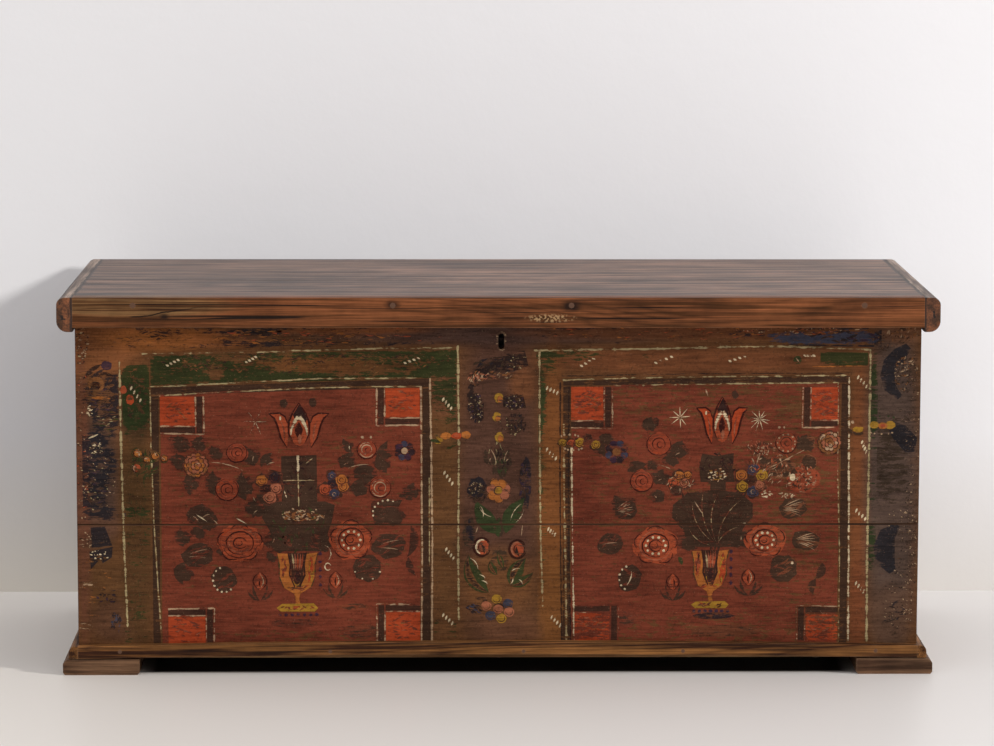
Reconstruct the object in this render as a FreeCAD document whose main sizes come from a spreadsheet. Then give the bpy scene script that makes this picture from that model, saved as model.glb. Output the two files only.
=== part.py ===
import FreeCAD, Part
import math
import os
import re
import Sketcher

# A painted dower chest: a dovetailed case of planks on two runners, with a hinged lid.
# Millimetres. X runs to the right, Y to the back and Z up. The origin is on the floor, under
# the middle of the closed chest.

SIZES = (
    # The case
    ("case_width", 1400, "length of the boarded case, outside"),
    ("case_depth", 580, "front to back of the boarded case, outside"),
    ("wall_thick", 26, "planks of the four walls"),
    ("lower_board_height", 205, "lower plank of each wall"),
    ("upper_board_height", 357, "upper plank of each wall"),
    ("joint_chamfer", 1.4, "eased edges that show as the line between two planks"),
    ("bottom_thick", 20, "planks of the bottom"),
    # The dovetails
    ("pin_tip", 9, "width of a dovetail pin at the outside of the case"),
    ("pin_root", 17, "width of a dovetail pin at its root"),
    ("lower_pins", 3, "pins on a lower plank"),
    ("upper_pins", 5, "pins on an upper plank"),
    # The runners and the base strips
    ("runner_height", 26, "thickness of a runner"),
    ("runner_width", 127, "width of a runner"),
    ("runner_reach", 25, "how far a runner stands out past the side of the case"),
    ("runner_toe", 2, "how far a runner stands out in front of the base strip"),
    ("runner_bevel", 7, "worn bevel along a runner's outer top edge"),
    ("runner_round", 3.5, "eased lower edges of a runner"),
    ("plinth_height", 21, "height of the base strips"),
    ("plinth_thick", 15, "thickness of the base strips"),
    ("plinth_lift", 1, "gap between the runners and the base strips"),
    ("plinth_bow", 7, "rise of the front base strip at its middle"),
    ("plinth_round", 10, "rounded upper edge of a side base strip"),
    # The lid
    ("lid_thick", 26, "planks of the lid"),
    ("strip_thick", 28, "strip along the front edge of the lid"),
    ("strip_height", 50, "height of that strip"),
    ("strip_gap", 1.5, "play between the strip and the front of the case"),
    ("strip_round", 4, "eased top edge of the strip"),
    ("batten_thick", 26, "battens on the ends of the lid"),
    ("batten_height", 57, "height of the battens"),
    ("batten_gap", 1.5, "play between a batten and the side of the case"),
    ("batten_round", 13, "rounded outer top edge of a batten"),
    ("batten_wear", 18, "rounded outer lower edge of a batten"),
    # The strap hinges
    ("hinge_from_centre", 430, "middle of each hinge, from the middle of the chest"),
    ("knuckle_radius", 5.6, "outside of the rolled knuckles"),
    ("hinge_gap", 0.6, "play around the knuckles"),
    ("hinge_pin_radius", 3, "hinge pin"),
    ("hinge_pin_play", 0.06, "running play of the pin in the knuckles"),
    ("hinge_pin_head", 4.6, "radius of the hammered ends of the pin"),
    ("hinge_pin_end", 2, "length of each hammered end"),
    ("strap_thick", 4, "iron of the straps"),
    ("strap_knuckle", 34, "width of a strap at its knuckle"),
    ("strap_tip", 17, "width of a strap at its far end"),
    ("strap_disc", 15, "radius of the beaten disc that ends a strap"),
    ("strap_length", 430, "hinge pin to the middle of the disc"),
    ("notch_gap", 1, "play around a strap in the back plank"),
    ("plate_width", 72, "width of a hinge plate"),
    ("plate_height", 120, "height of a hinge plate"),
    ("plate_thick", 4, "iron of the hinge plates"),
    ("plate_clip", 14, "clipped lower corners of a hinge plate"),
    # The lock
    ("key_x", 4, "keyhole, from the middle of the chest"),
    ("keyhole_width", 10, "keyhole in the front plank"),
    ("keyhole_height", 26, "keyhole in the front plank"),
    ("key_slot_width", 8, "keyhole in the lock plate"),
    ("key_slot_height", 23, "keyhole in the lock plate"),
    ("lock_width", 150, "width of the lock plate"),
    ("lock_gauge", 2.5, "iron of the lock plate"),
    ("lock_top_gap", 5, "lock plate below the top of the case"),
    ("lock_above", 45, "lock plate above the keyhole"),
    ("lock_below", 50, "lock plate below the keyhole"),
    ("flange_width", 15, "flange at each side of the lock cover"),
    ("cover_depth", 26, "depth of the lock cover"),
    ("cover_gauge", 2, "iron of the lock cover"),
    ("cover_top_gap", 2, "lock cover short of the lock plate's top"),
    ("cover_foot_gap", 6, "lock cover short of the lock plate's foot"),
    ("key_post_radius", 2.5, "post that the hollow key turns on"),
    ("bolt_height", 14, "lock bolt"),
    ("bolt_thick", 6, "lock bolt"),
    ("bolt_rise", 10, "underside of the bolt above the keyhole's middle"),
    ("bolt_stand", 9, "space between the bolt and the lock plate"),
    ("bolt_clear", 2, "space between the drawn bolt and the staple"),
    ("tail_gap", 4.8, "space between the spring's foot and the side of the lock cover"),
    ("talon_width", 14, "notch in the bolt that the key pushes"),
    ("talon_depth", 6, "notch in the bolt that the key pushes"),
    ("guide_width", 6, "iron loops that carry the bolt"),
    ("guide_wall", 2.5, "iron loops that carry the bolt"),
    ("guide_play", 0.4, "play of the bolt in its loops"),
    ("spring_gauge", 1.2, "flat spring on the bolt"),
    ("spring_play", 0.4, "play between the spring and the bolt"),
    ("spring_rise", 9, "rise of the spring from the bolt to its foot"),
    ("spring_foot", 6, "width of the spring's foot"),
    ("staple_offset", 30, "staple to the left of the keyhole"),
    ("staple_gauge", 8, "iron of the staple, left to right"),
    ("staple_wall", 4, "iron of the staple's loop"),
    ("staple_play", 1.5, "play between the bolt and the staple's loop"),
    ("staple_neck", 11, "solid top of the staple"),
    ("staple_round", 3, "clipped lower corners of the staple"),
    ("staple_plate_length", 64, "plate that carries the staple"),
    ("staple_plate_width", 25, "plate that carries the staple"),
    ("staple_plate_thick", 3, "plate that carries the staple"),
    ("staple_swing", 2.5, "room around the staple in the top of the lock"),
    # The nails and pegs
    ("nail_radius", 2.3, "half the diagonal of a nail's square shank"),
    ("nail_head", 5.4, "half the width of a nail's beaten head, corner to corner"),
    ("nail_head_height", 2.4, "height of a nail's head"),
    ("bottom_nail_length", 55, "nails through the bottom into the walls"),
    ("runner_nail_length", 40, "nails through the bottom into the runners"),
    ("iron_nail_length", 21, "nails of the hinges and the lock"),
    ("peg_radius", 4.8, "half the width of the lid's whittled pegs, corner to corner"),
    ("strip_peg_length", 68, "pegs through the strip"),
    ("batten_peg_length", 72, "pegs through the battens"),
    ("plinth_peg_radius", 3.2, "half the width of the base strips' pegs, corner to corner"),
    ("plinth_peg_length", 35, "wooden pegs of the base strips"),
)

# Places along a piece, as shares of its length.
LID_FRONT_BOARD_SHARE = 0.41
BOTTOM_JOINT_SHARES = (0.34, 0.65)
STRIP_PEG_SHARES = (-0.43, -0.125, 0.085, 0.43)
BATTEN_PEG_SHARES = (0.14, 0.32, 0.58, 0.86)
PLINTH_PEG_SHARES = (-0.45, -0.2, 0.03, 0.22, 0.45)
PLINTH_SIDE_PEG_SHARES = (0.1, 0.5, 0.9)
PLINTH_PEG_LEVEL_SHARE = 0.65
BOTTOM_NAIL_SHARES = (-0.38, -0.19, 0, 0.19, 0.38)
RUNNER_NAIL_SHARES = (0.14, 0.5, 0.86)
STRAP_NAIL_SHARES = (0.16, 0.34, 0.52, 0.72, 0.92)
PLATE_NAIL_WIDTH_SHARE = 0.3
PLATE_NAIL_HEIGHT_SHARES = (0.34, 0.76)
GUIDE_SHARES = (0.14, 0.66)
SPRING_REST_SHARE = 0.5
SPRING_TIP_SHARE = 0.36
STAPLE_NAIL_SHARE = 0.34

doc = FreeCAD.newDocument("painted_chest")
sheet = doc.addObject("Spreadsheet::Sheet", "Sizes")
for row, (alias, number, note) in enumerate(SIZES, start=1):
    sheet.set(f"A{row}", note)
    sheet.set(f"B{row}", str(number))
    sheet.setAlias(f"B{row}", alias)
doc.recompute()

ALIASES = {alias for alias, number, note in SIZES}

# Levels and faces that several pieces share, as formulas of the sizes.
BASE = "(runner_height + bottom_thick)"
JOINT = f"({BASE} + lower_board_height)"
RIM = f"({JOINT} + upper_board_height)"
LID_TOP = f"({RIM} + lid_thick)"
CASE_FRONT = "((strip_thick + strip_gap - case_depth - hinge_gap) / 2 - knuckle_radius)"
CASE_BACK = f"({CASE_FRONT} + case_depth)"
INNER_FRONT = f"({CASE_FRONT} + wall_thick)"
INNER_BACK = f"({CASE_BACK} - wall_thick)"
HALF_WIDTH = "(case_width / 2)"
INNER_HALF = "(case_width / 2 - wall_thick)"
LID_HALF = "(case_width / 2 + batten_gap)"
STRIP_BACK = f"({CASE_FRONT} - strip_gap)"
LID_FRONT = f"({STRIP_BACK} - strip_thick)"
LID_DEPTH = "(case_depth + strip_gap)"
HINGE_Y = f"({CASE_BACK} + hinge_gap + knuckle_radius)"
HINGE_Z = f"({RIM} - strap_thick / 2)"
PLINTH_LOW = "(runner_height + plinth_lift)"
LOCK_FACE = f"({INNER_FRONT} + lock_gauge)"
BOLT_Y = f"({LOCK_FACE} + bolt_stand)"
KEY_Z = f"({RIM} - lock_top_gap - lock_above)"
BOLT_LOW = f"({KEY_Z} + bolt_rise)"
BOLT_HIGH = f"({BOLT_LOW} + bolt_height)"
COVER_HALF = "(lock_width / 2 - flange_width)"
COVER_LOW = f"({KEY_Z} - lock_below + cover_foot_gap)"
COVER_HIGH = f"({KEY_Z} + lock_above - cover_top_gap)"
STAPLE_X = "(key_x - staple_offset)"
NOSE_X = f"({STAPLE_X} + staple_gauge / 2 + bolt_clear)"
TAIL_X = f"(key_x + {COVER_HALF} - cover_gauge - tail_gap - spring_foot - spring_gauge)"
BOLT_LENGTH = f"({TAIL_X} - {NOSE_X})"
STAPLE_Y = f"({BOLT_Y} + bolt_thick / 2)"

PEG_SIDES = 8
NAIL_SIDES = 4
ROLE_SIGNS = {"XY_Plane": 1, "XZ_Plane": -1, "YZ_Plane": 1}
pieces = []


def bound(formula):
    """The formula with each size's name led by the name of the sheet."""
    return re.sub(r"[a-z_]+", lambda word: f"Sizes.{word[0]}" if word[0] in ALIASES else word[0], formula)


def bind(thing, prop, formula):
    thing.setExpression(prop, bound(str(formula)))


def number_of(formula):
    return float(sheet.evalExpression(str(formula)))


def keep(thing, name):
    """Make an object one of the chest's pieces, under its own name."""
    thing.Label = name
    pieces.append(thing)
    return thing


def new_body(name):
    return doc.addObject("PartDesign::Body", name)


def new_sketch(body, name, role, level):
    """A sketch parallel to one of the body's origin planes, at a level along that plane's axis."""
    sketch = body.newObject("Sketcher::SketchObject", name)
    plane = next(f for f in body.Origin.OriginFeatures if f.Role == role)
    sketch.AttachmentSupport = [(plane, "")]
    sketch.MapMode = "FlatFace"
    bind(sketch, ".AttachmentOffset.Base.z", f"{ROLE_SIGNS[role]} * ({level})")
    return sketch


def pin_point(sketch, geometry, point, place):
    """Tie a point of a sketch to the two formulas that place it."""
    for kind, formula in zip(("DistanceX", "DistanceY"), place):
        index = sketch.addConstraint(
            Sketcher.Constraint(kind, -1, 1, geometry, point, number_of(formula)))
        bind(sketch, f"Constraints[{index}]", formula)


def outline(body, name, role, level, corners, arcs=None):
    """A closed outline of straight edges, given anticlockwise.

    arcs turns an edge that lies along an axis into an arc: it maps the edge's number to the
    formula of the arc's centre across the edge, and to True where the arc swells outwards.
    """
    arcs = arcs or {}
    sketch = new_sketch(body, name, role, level)
    points = [FreeCAD.Vector(number_of(across), number_of(up), 0) for across, up in corners]
    count = len(points)
    ends = []
    for i, start in enumerate(points):
        finish = points[(i + 1) % count]
        if i not in arcs:
            sketch.addGeometry(Part.LineSegment(start, finish), False)
            ends.append((1, 2))
            continue
        level_formula, swells = arcs[i]
        centre = (start + finish) / 2
        flat = abs(start.y - finish.y) < abs(start.x - finish.x)
        if flat:
            centre.y = number_of(level_formula)
        else:
            centre.x = number_of(level_formula)
        first, last = (start, finish) if swells else (finish, start)
        angles = [math.atan2(p.y - centre.y, p.x - centre.x) for p in (first, last)]
        circle = Part.Circle(centre, FreeCAD.Vector(0, 0, 1), (start - centre).Length)
        sketch.addGeometry(Part.ArcOfCircle(circle, *angles), False)
        ends.append((1, 2) if swells else (2, 1))
    for i in range(count):
        following = (i + 1) % count
        sketch.addConstraint(
            Sketcher.Constraint("Coincident", i, ends[i][1], following, ends[following][0]))
    for i, place in enumerate(corners):
        pin_point(sketch, i, ends[i][0], place)
    for i, (level_formula, swells) in arcs.items():
        flat = abs(points[i].y - points[(i + 1) % count].y) < abs(points[i].x - points[(i + 1) % count].x)
        kind = "DistanceY" if flat else "DistanceX"
        index = sketch.addConstraint(
            Sketcher.Constraint(kind, -1, 1, i, 3, number_of(level_formula)))
        bind(sketch, f"Constraints[{index}]", level_formula)
    return sketch


def rectangle(body, name, role, level, low, high):
    corners = [(low[0], low[1]), (high[0], low[1]), (high[0], high[1]), (low[0], high[1])]
    return outline(body, name, role, level, corners)


def disc(body, name, role, level, centre, radius):
    """A round outline."""
    sketch = new_sketch(body, name, role, level)
    place = FreeCAD.Vector(number_of(centre[0]), number_of(centre[1]), 0)
    sketch.addGeometry(Part.Circle(place, FreeCAD.Vector(0, 0, 1), number_of(radius)), False)
    pin_point(sketch, 0, 3, centre)
    index = sketch.addConstraint(Sketcher.Constraint("Radius", 0, number_of(radius)))
    bind(sketch, f"Constraints[{index}]", radius)
    return sketch


def pad(body, name, sketch, role, length):
    """Material from the sketch's level onwards, along the axis of its plane."""
    feature = body.newObject("PartDesign::Pad", name)
    feature.Profile = sketch
    feature.Reversed = ROLE_SIGNS[role] < 0
    bind(feature, "Length", length)
    body.Tip = feature
    return feature


def cut_through(body, name, sketch):
    """A hole of the sketch's outline through the whole piece."""
    feature = body.newObject("PartDesign::Pocket", name)
    feature.Profile = sketch
    feature.Type = "ThroughAll"
    feature.Midplane = True
    body.Tip = feature
    return feature


def cut_to(body, name, sketch, length):
    """A pocket of a given depth, towards the back or down from its sketch."""
    feature = body.newObject("PartDesign::Pocket", name)
    feature.Profile = sketch
    bind(feature, "Length", length)
    body.Tip = feature
    return feature


def row_up(body, name, feature, sketch, length, count):
    """Repeat a feature upwards."""
    pattern = body.newObject("PartDesign::LinearPattern", name)
    pattern.Originals = [feature]
    pattern.Direction = (sketch, ["V_Axis"])
    bind(pattern, "Length", length)
    bind(pattern, "Occurrences", count)
    body.Tip = pattern
    return pattern


def round_edges(body, name, base, wanted, radius):
    """Round the edges whose middle passes the test."""
    doc.recompute()
    names = [f"Edge{i}" for i, edge in enumerate(base.Shape.Edges, start=1) if wanted(edge.BoundBox)]
    feature = body.newObject("PartDesign::Fillet", name)
    feature.Base = (base, names)
    bind(feature, "Radius", radius)
    body.Tip = feature
    return feature


def near(first, formula):
    return abs(first - number_of(formula)) < 0.01


def box(name, low, high):
    """A plain plank between two corners."""
    plank = doc.addObject("Part::Box", name)
    for side, axis, start, end in zip(("Length", "Width", "Height"), "xyz", low, high):
        bind(plank, side, f"({end}) - ({start})")
        bind(plank, f".Placement.Base.{axis}", start)
    return plank


def aim(thing, place, direction):
    """Stand an object on a place, with its own Z along the direction."""
    thing.Placement.Rotation = FreeCAD.Rotation(FreeCAD.Vector(0, 0, 1), FreeCAD.Vector(*direction))
    for axis, formula in zip("xyz", place):
        bind(thing, f".Placement.Base.{axis}", formula)


def peg(name, place, direction, radius, length):
    """A whittled eight-sided peg driven from a place along a direction."""
    shank = doc.addObject("Part::Prism", name)
    shank.Polygon = PEG_SIDES
    bind(shank, "Circumradius", radius)
    bind(shank, "Height", length)
    aim(shank, place, direction)
    return shank


def nail(name, place, direction, length):
    """A forged nail with a square shank, driven until its head lies on the place."""
    shank = doc.addObject("Part::Prism", f"{name}_shank")
    shank.Polygon = NAIL_SIDES
    bind(shank, "Circumradius", "nail_radius")
    bind(shank, "Height", length)
    head = doc.addObject("Part::Prism", f"{name}_head")
    head.Polygon = PEG_SIDES
    bind(head, "Circumradius", "nail_head")
    bind(head, "Height", "nail_head_height")
    bind(head, ".Placement.Base.z", "-nail_head_height")
    whole = doc.addObject("Part::MultiFuse", name)
    whole.Shapes = [head, shank]
    aim(whole, place, direction)
    return whole


def group(name, members):
    """Like fasteners as one piece of several solids."""
    compound = doc.addObject("Part::Compound", name)
    compound.Links = members
    return keep(compound, name)


def bored(name, blank, *tools):
    """A piece with the holes that its own nails and pegs make in it."""
    result = blank
    for i, tool in enumerate(tools):
        cut = doc.addObject("Part::Cut", f"{name}_bored_{i}")
        cut.Base = result
        cut.Tool = tool
        result = cut
    blank.Label = f"{name}_blank"
    return keep(result, name)


def pin_corners(sign, low, high, count):
    """The outline of a board's lowest dovetail pin, seen from the front."""
    middle = f"(({low}) + (({high}) - ({low})) / {count} / 2)"
    tip = (f"{sign} * {HALF_WIDTH}", f"{middle} - pin_tip / 2", f"{middle} + pin_tip / 2")
    root = (f"{sign} * {INNER_HALF}", f"{middle} - pin_root / 2", f"{middle} + pin_root / 2")
    corners = [(root[0], root[1]), (tip[0], tip[1]), (tip[0], tip[2]), (root[0], root[2])]
    return corners if sign > 0 else corners[::-1]


def eased_section(outer, outer_eased, inner, low, high, upper, outer_first):
    """A plank's section whose outer edge is eased where it meets the plank above or below."""
    if upper:
        corners = [(outer, f"{low} + joint_chamfer"), (outer_eased, low), (inner, low),
                   (inner, high), (outer, high)]
    else:
        corners = [(outer, low), (inner, low), (inner, high), (outer_eased, high),
                   (outer, f"{high} - joint_chamfer")]
    return corners if outer_first else corners[::-1]


def long_board(name, sign, upper):
    """A plank of the front (sign -1) or the back (sign 1), with sockets for the pins."""
    low, high, count = (JOINT, RIM, "upper_pins") if upper else (BASE, JOINT, "lower_pins")
    face, inside = (CASE_FRONT, INNER_FRONT) if sign < 0 else (CASE_BACK, INNER_BACK)
    body = new_body(name)
    section = eased_section(face, f"{face} - ({sign}) * joint_chamfer", inside, low, high, upper, sign < 0)
    profile = outline(body, "section", "YZ_Plane", f"-{HALF_WIDTH}", section)
    pad(body, "plank", profile, "YZ_Plane", "case_width")
    for side, end in (("left", -1), ("right", 1)):
        sketch = outline(body, f"{side}_socket", "XZ_Plane", face, pin_corners(end, low, high, count))
        socket = cut_through(body, f"{side}_first_socket", sketch)
        row_up(body, f"{side}_sockets", socket, sketch, f"({high} - {low}) * ({count} - 1) / {count}", count)
    return body


def side_board(name, sign, upper):
    """A plank of the left (sign -1) or right side, with the dovetail pins on its ends."""
    low, high, count = (JOINT, RIM, "upper_pins") if upper else (BASE, JOINT, "lower_pins")
    body = new_body(name)
    face = f"{sign} * {HALF_WIDTH}"
    section = eased_section(face, f"{sign} * ({HALF_WIDTH} - joint_chamfer)", f"{sign} * {INNER_HALF}",
                            low, high, upper, sign < 0)
    profile = outline(body, "section", "XZ_Plane", INNER_FRONT, section)
    pad(body, "plank", profile, "XZ_Plane", "case_depth - 2 * wall_thick")
    for end, level in (("front", CASE_FRONT), ("back", INNER_BACK)):
        sketch = outline(body, f"{end}_pin", "XZ_Plane", level, pin_corners(sign, low, high, count))
        first = pad(body, f"{end}_first_pin", sketch, "XZ_Plane", "wall_thick")
        row_up(body, f"{end}_pins", first, sketch, f"({high} - {low}) * ({count} - 1) / {count}", count)
    return body


def keyhole(body, name, width, height):
    """A slot with round ends around the middle of the keyhole."""
    low = f"({KEY_Z} - {height} / 2 + {width} / 2)"
    high = f"({KEY_Z} + {height} / 2 - {width} / 2)"
    left, right = f"key_x - {width} / 2", f"key_x + {width} / 2"
    sketch = outline(body, name, "XZ_Plane", CASE_FRONT,
                     [(left, low), (right, low), (right, high), (left, high)],
                     arcs={0: (low, True), 2: (high, True)})
    return cut_through(body, f"{name}_cut", sketch)


def front_walls():
    """The two planks of the front: the upper one has the keyhole."""
    lower = long_board("front_lower_blank", -1, upper=False)
    upper = long_board("front_upper_blank", -1, upper=True)
    keyhole(upper, "keyhole", "keyhole_width", "keyhole_height")
    return lower, upper


def back_walls():
    """The two planks of the back: the upper one is notched for the hinge straps."""
    lower = long_board("back_lower_blank", 1, upper=False)
    upper = long_board("back_upper_blank", 1, upper=True)
    for side, sign in (("left", -1), ("right", 1)):
        half = "(strap_knuckle / 2 + notch_gap)"
        middle = f"{sign} * hinge_from_centre"
        notch = rectangle(upper, f"{side}_notch", "XZ_Plane", CASE_BACK,
                          (f"{middle} - {half}", f"{RIM} - strap_thick - notch_gap"),
                          (f"{middle} + {half}", f"{RIM} + notch_gap"))
        cut_through(upper, f"{side}_notch_cut", notch)
    return lower, upper


def bottom_boards(tools):
    """Three planks across the foot of the walls."""
    edges = ("0", *BOTTOM_JOINT_SHARES, "1")
    for name, start, end in zip(("front", "middle", "back"), edges, edges[1:]):
        plank = box(f"bottom_{name}_blank",
                    (f"-{HALF_WIDTH}", f"{CASE_FRONT} + {start} * case_depth", "runner_height"),
                    (HALF_WIDTH, f"{CASE_FRONT} + {end} * case_depth", BASE))
        bored(f"bottom_board_{name}", plank, *tools)


def plinth_front(pegs):
    """The front base strip, nailed on with a slight bow."""
    body = new_body("plinth_front_blank")
    fall = f"(({HALF_WIDTH} * {HALF_WIDTH} + plinth_bow * plinth_bow) / (2 * plinth_bow) - plinth_bow)"
    top = f"({PLINTH_LOW} + plinth_height)"
    sketch = outline(body, "bowed_outline", "XZ_Plane", f"{CASE_FRONT} - plinth_thick",
                     [(f"-{HALF_WIDTH}", PLINTH_LOW), (HALF_WIDTH, PLINTH_LOW),
                      (HALF_WIDTH, top), (f"-{HALF_WIDTH}", top)],
                     arcs={0: (f"{PLINTH_LOW} - {fall}", False), 2: (f"{top} - {fall}", True)})
    pad(body, "strip", sketch, "XZ_Plane", "plinth_thick")
    bored("plinth_front", body, pegs)


def plinth_side(side, sign, pegs):
    """A side base strip with a rounded upper edge, whose end shows beside the front strip."""
    body = new_body(f"plinth_{side}_blank")
    near_x, far_x = f"{sign} * {HALF_WIDTH}", f"{sign} * ({HALF_WIDTH} + plinth_thick)"
    low, high = (near_x, far_x) if sign > 0 else (far_x, near_x)
    sketch = rectangle(body, "section", "XZ_Plane", f"{CASE_FRONT} - plinth_thick",
                       (low, PLINTH_LOW), (high, f"{PLINTH_LOW} + plinth_height"))
    strip = pad(body, "strip", sketch, "XZ_Plane", "case_depth + plinth_thick")
    round_edges(body, "worn_edge", strip,
                lambda b: near(b.XMin, far_x) and near(b.XMax, far_x)
                and near(b.ZMin, f"{PLINTH_LOW} + plinth_height"), "plinth_round")
    bored(f"plinth_{side}", body, pegs)


def runner(side, sign, nails):
    """A flat runner from front to back, bevelled along its outer top edge."""
    body = new_body(f"runner_{side}_blank")
    outer = f"{sign} * ({HALF_WIDTH} + runner_reach)"
    outer_top = f"{sign} * ({HALF_WIDTH} + runner_reach - runner_bevel)"
    outer_low = f"{sign} * ({HALF_WIDTH} + runner_reach - runner_round)"
    inner = f"{sign} * ({HALF_WIDTH} + runner_reach - runner_width)"
    inner_low = f"{sign} * ({HALF_WIDTH} + runner_reach - runner_width + runner_round)"
    corners = [(inner_low, "0"), (outer_low, "0"), (outer, "runner_round"),
               (outer, "runner_height - runner_bevel"), (outer_top, "runner_height"),
               (inner, "runner_height"), (inner, "runner_round")]
    if sign < 0:
        corners = corners[::-1]
    front = f"{CASE_FRONT} - plinth_thick - runner_toe"
    sketch = outline(body, "section", "XZ_Plane", front, corners)
    pad(body, "plank", sketch, "XZ_Plane", "case_depth + plinth_thick + runner_toe")
    bored(f"runner_{side}", body, nails)


def lid_boards(tools):
    """The two planks of the lid, eased along the joint between them."""
    split = f"({STRIP_BACK} + {LID_FRONT_BOARD_SHARE} * {LID_DEPTH})"
    front = new_body("lid_front_blank")
    sketch = outline(front, "section", "YZ_Plane", f"-{LID_HALF}",
                     [(STRIP_BACK, RIM), (split, RIM), (split, f"{LID_TOP} - joint_chamfer"),
                      (f"{split} - joint_chamfer", LID_TOP), (STRIP_BACK, LID_TOP)])
    pad(front, "plank", sketch, "YZ_Plane", f"2 * {LID_HALF}")
    bored("lid_board_front", front, *tools)
    back = new_body("lid_back_blank")
    sketch = outline(back, "section", "YZ_Plane", f"-{LID_HALF}",
                     [(split, RIM), (CASE_BACK, RIM), (CASE_BACK, f"{LID_TOP} - joint_chamfer"),
                      (f"{CASE_BACK} - joint_chamfer", LID_TOP), (f"{split} + joint_chamfer", LID_TOP),
                      (split, f"{LID_TOP} - joint_chamfer")])
    pad(back, "plank", sketch, "YZ_Plane", f"2 * {LID_HALF}")
    bored("lid_board_back", back, *tools)


def lid_strip(pegs):
    """The strip along the front edge of the lid, with an eased top edge."""
    body = new_body("lid_strip_blank")
    sketch = rectangle(body, "section", "YZ_Plane", f"-{LID_HALF}",
                       (LID_FRONT, f"{LID_TOP} - strip_height"), (STRIP_BACK, LID_TOP))
    strip = pad(body, "strip", sketch, "YZ_Plane", f"2 * {LID_HALF}")
    round_edges(body, "eased_edge", strip,
                lambda b: near(b.YMin, LID_FRONT) and near(b.YMax, LID_FRONT) and near(b.ZMin, LID_TOP),
                "strip_round")
    bored("lid_front_strip", body, pegs)


def lid_batten(side, sign, pegs):
    """A batten on an end of the lid, rounded on the outside."""
    body = new_body(f"lid_batten_{side}_blank")
    near_x, far_x = f"{sign} * {LID_HALF}", f"{sign} * ({LID_HALF} + batten_thick)"
    low, high = (near_x, far_x) if sign > 0 else (far_x, near_x)
    sketch = rectangle(body, "section", "XZ_Plane", LID_FRONT,
                       (low, f"{LID_TOP} - batten_height"), (high, LID_TOP))
    batten = pad(body, "batten", sketch, "XZ_Plane", f"{LID_DEPTH} + strip_thick")
    top = round_edges(body, "rounded_top", batten,
                      lambda b: near(b.XMin, far_x) and near(b.XMax, far_x) and near(b.ZMin, LID_TOP),
                      "batten_round")
    round_edges(body, "rounded_foot", top,
                lambda b: near(b.XMin, far_x) and near(b.XMax, far_x)
                and near(b.ZMax, f"{LID_TOP} - batten_height"), "batten_wear")
    bored(f"lid_batten_{side}", body, pegs)


def hinge(side, sign, strap_nails, plate_nails):
    """One strap hinge: the strap under the lid, the plate on the back and the pin."""
    middle = f"{sign} * hinge_from_centre"
    axis = (HINGE_Y, HINGE_Z)
    bore = "hinge_pin_radius + hinge_pin_play"

    strap = new_body(f"strap_{side}_blank")
    bind(strap, ".Placement.Base.x", middle)
    tip = f"({HINGE_Y} - strap_length)"
    level = f"({RIM} - strap_thick)"
    taper = outline(strap, "taper", "XY_Plane", level,
                    [("-strap_tip / 2", tip), ("strap_tip / 2", tip),
                     ("strap_knuckle / 2", HINGE_Y), ("-strap_knuckle / 2", HINGE_Y)])
    pad(strap, "bar", taper, "XY_Plane", "strap_thick")
    end = disc(strap, "disc", "XY_Plane", level, ("0", tip), "strap_disc")
    pad(strap, "beaten_disc", end, "XY_Plane", "strap_thick")
    roll = disc(strap, "roll", "YZ_Plane", "-strap_knuckle / 2", axis, "knuckle_radius")
    pad(strap, "knuckle", roll, "YZ_Plane", "strap_knuckle")
    cut_through(strap, "pin_hole", disc(strap, "bore", "YZ_Plane", "0", axis, bore))
    bored(f"hinge_strap_{side}", strap, strap_nails)

    plate = new_body(f"plate_{side}_blank")
    bind(plate, ".Placement.Base.x", middle)
    half = "(plate_width / 2)"
    foot = f"({HINGE_Z} - plate_height)"
    shape = outline(plate, "leaf", "XZ_Plane", CASE_BACK,
                    [(f"-{half} + plate_clip", foot), (f"{half} - plate_clip", foot),
                     (half, f"{foot} + plate_clip"), (half, HINGE_Z), (f"-{half}", HINGE_Z),
                     (f"-{half}", f"{foot} + plate_clip")])
    pad(plate, "plate", shape, "XZ_Plane", "plate_thick")
    roll = disc(plate, "roll", "YZ_Plane", f"-{half}", axis, "knuckle_radius")
    pad(plate, "knuckles", roll, "YZ_Plane", "plate_width")
    room = "(knuckle_radius + hinge_gap)"
    gap = rectangle(plate, "strap_room", "XZ_Plane", CASE_BACK,
                    ("-strap_knuckle / 2 - hinge_gap", f"{HINGE_Z} - {room}"),
                    ("strap_knuckle / 2 + hinge_gap", f"{HINGE_Z} + {room}"))
    cut_through(plate, "strap_room_cut", gap)
    cut_through(plate, "pin_hole", disc(plate, "bore", "YZ_Plane", "0", axis, bore))
    bored(f"hinge_plate_{side}", plate, plate_nails)

    pin = new_body(f"pin_{side}")
    bind(pin, ".Placement.Base.x", middle)
    shaft = disc(pin, "section", "YZ_Plane", f"-{half} - hinge_pin_end", axis, "hinge_pin_radius")
    pad(pin, "shaft", shaft, "YZ_Plane", "plate_width + 2 * hinge_pin_end")
    for name, start in (("left_end", f"-{half} - hinge_pin_play - hinge_pin_end"),
                        ("right_end", f"{half} + hinge_pin_play")):
        head = disc(pin, name, "YZ_Plane", start, axis, "hinge_pin_head")
        pad(pin, f"{name}_head", head, "YZ_Plane", "hinge_pin_end")
    keep(pin, f"hinge_pin_{side}")


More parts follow.
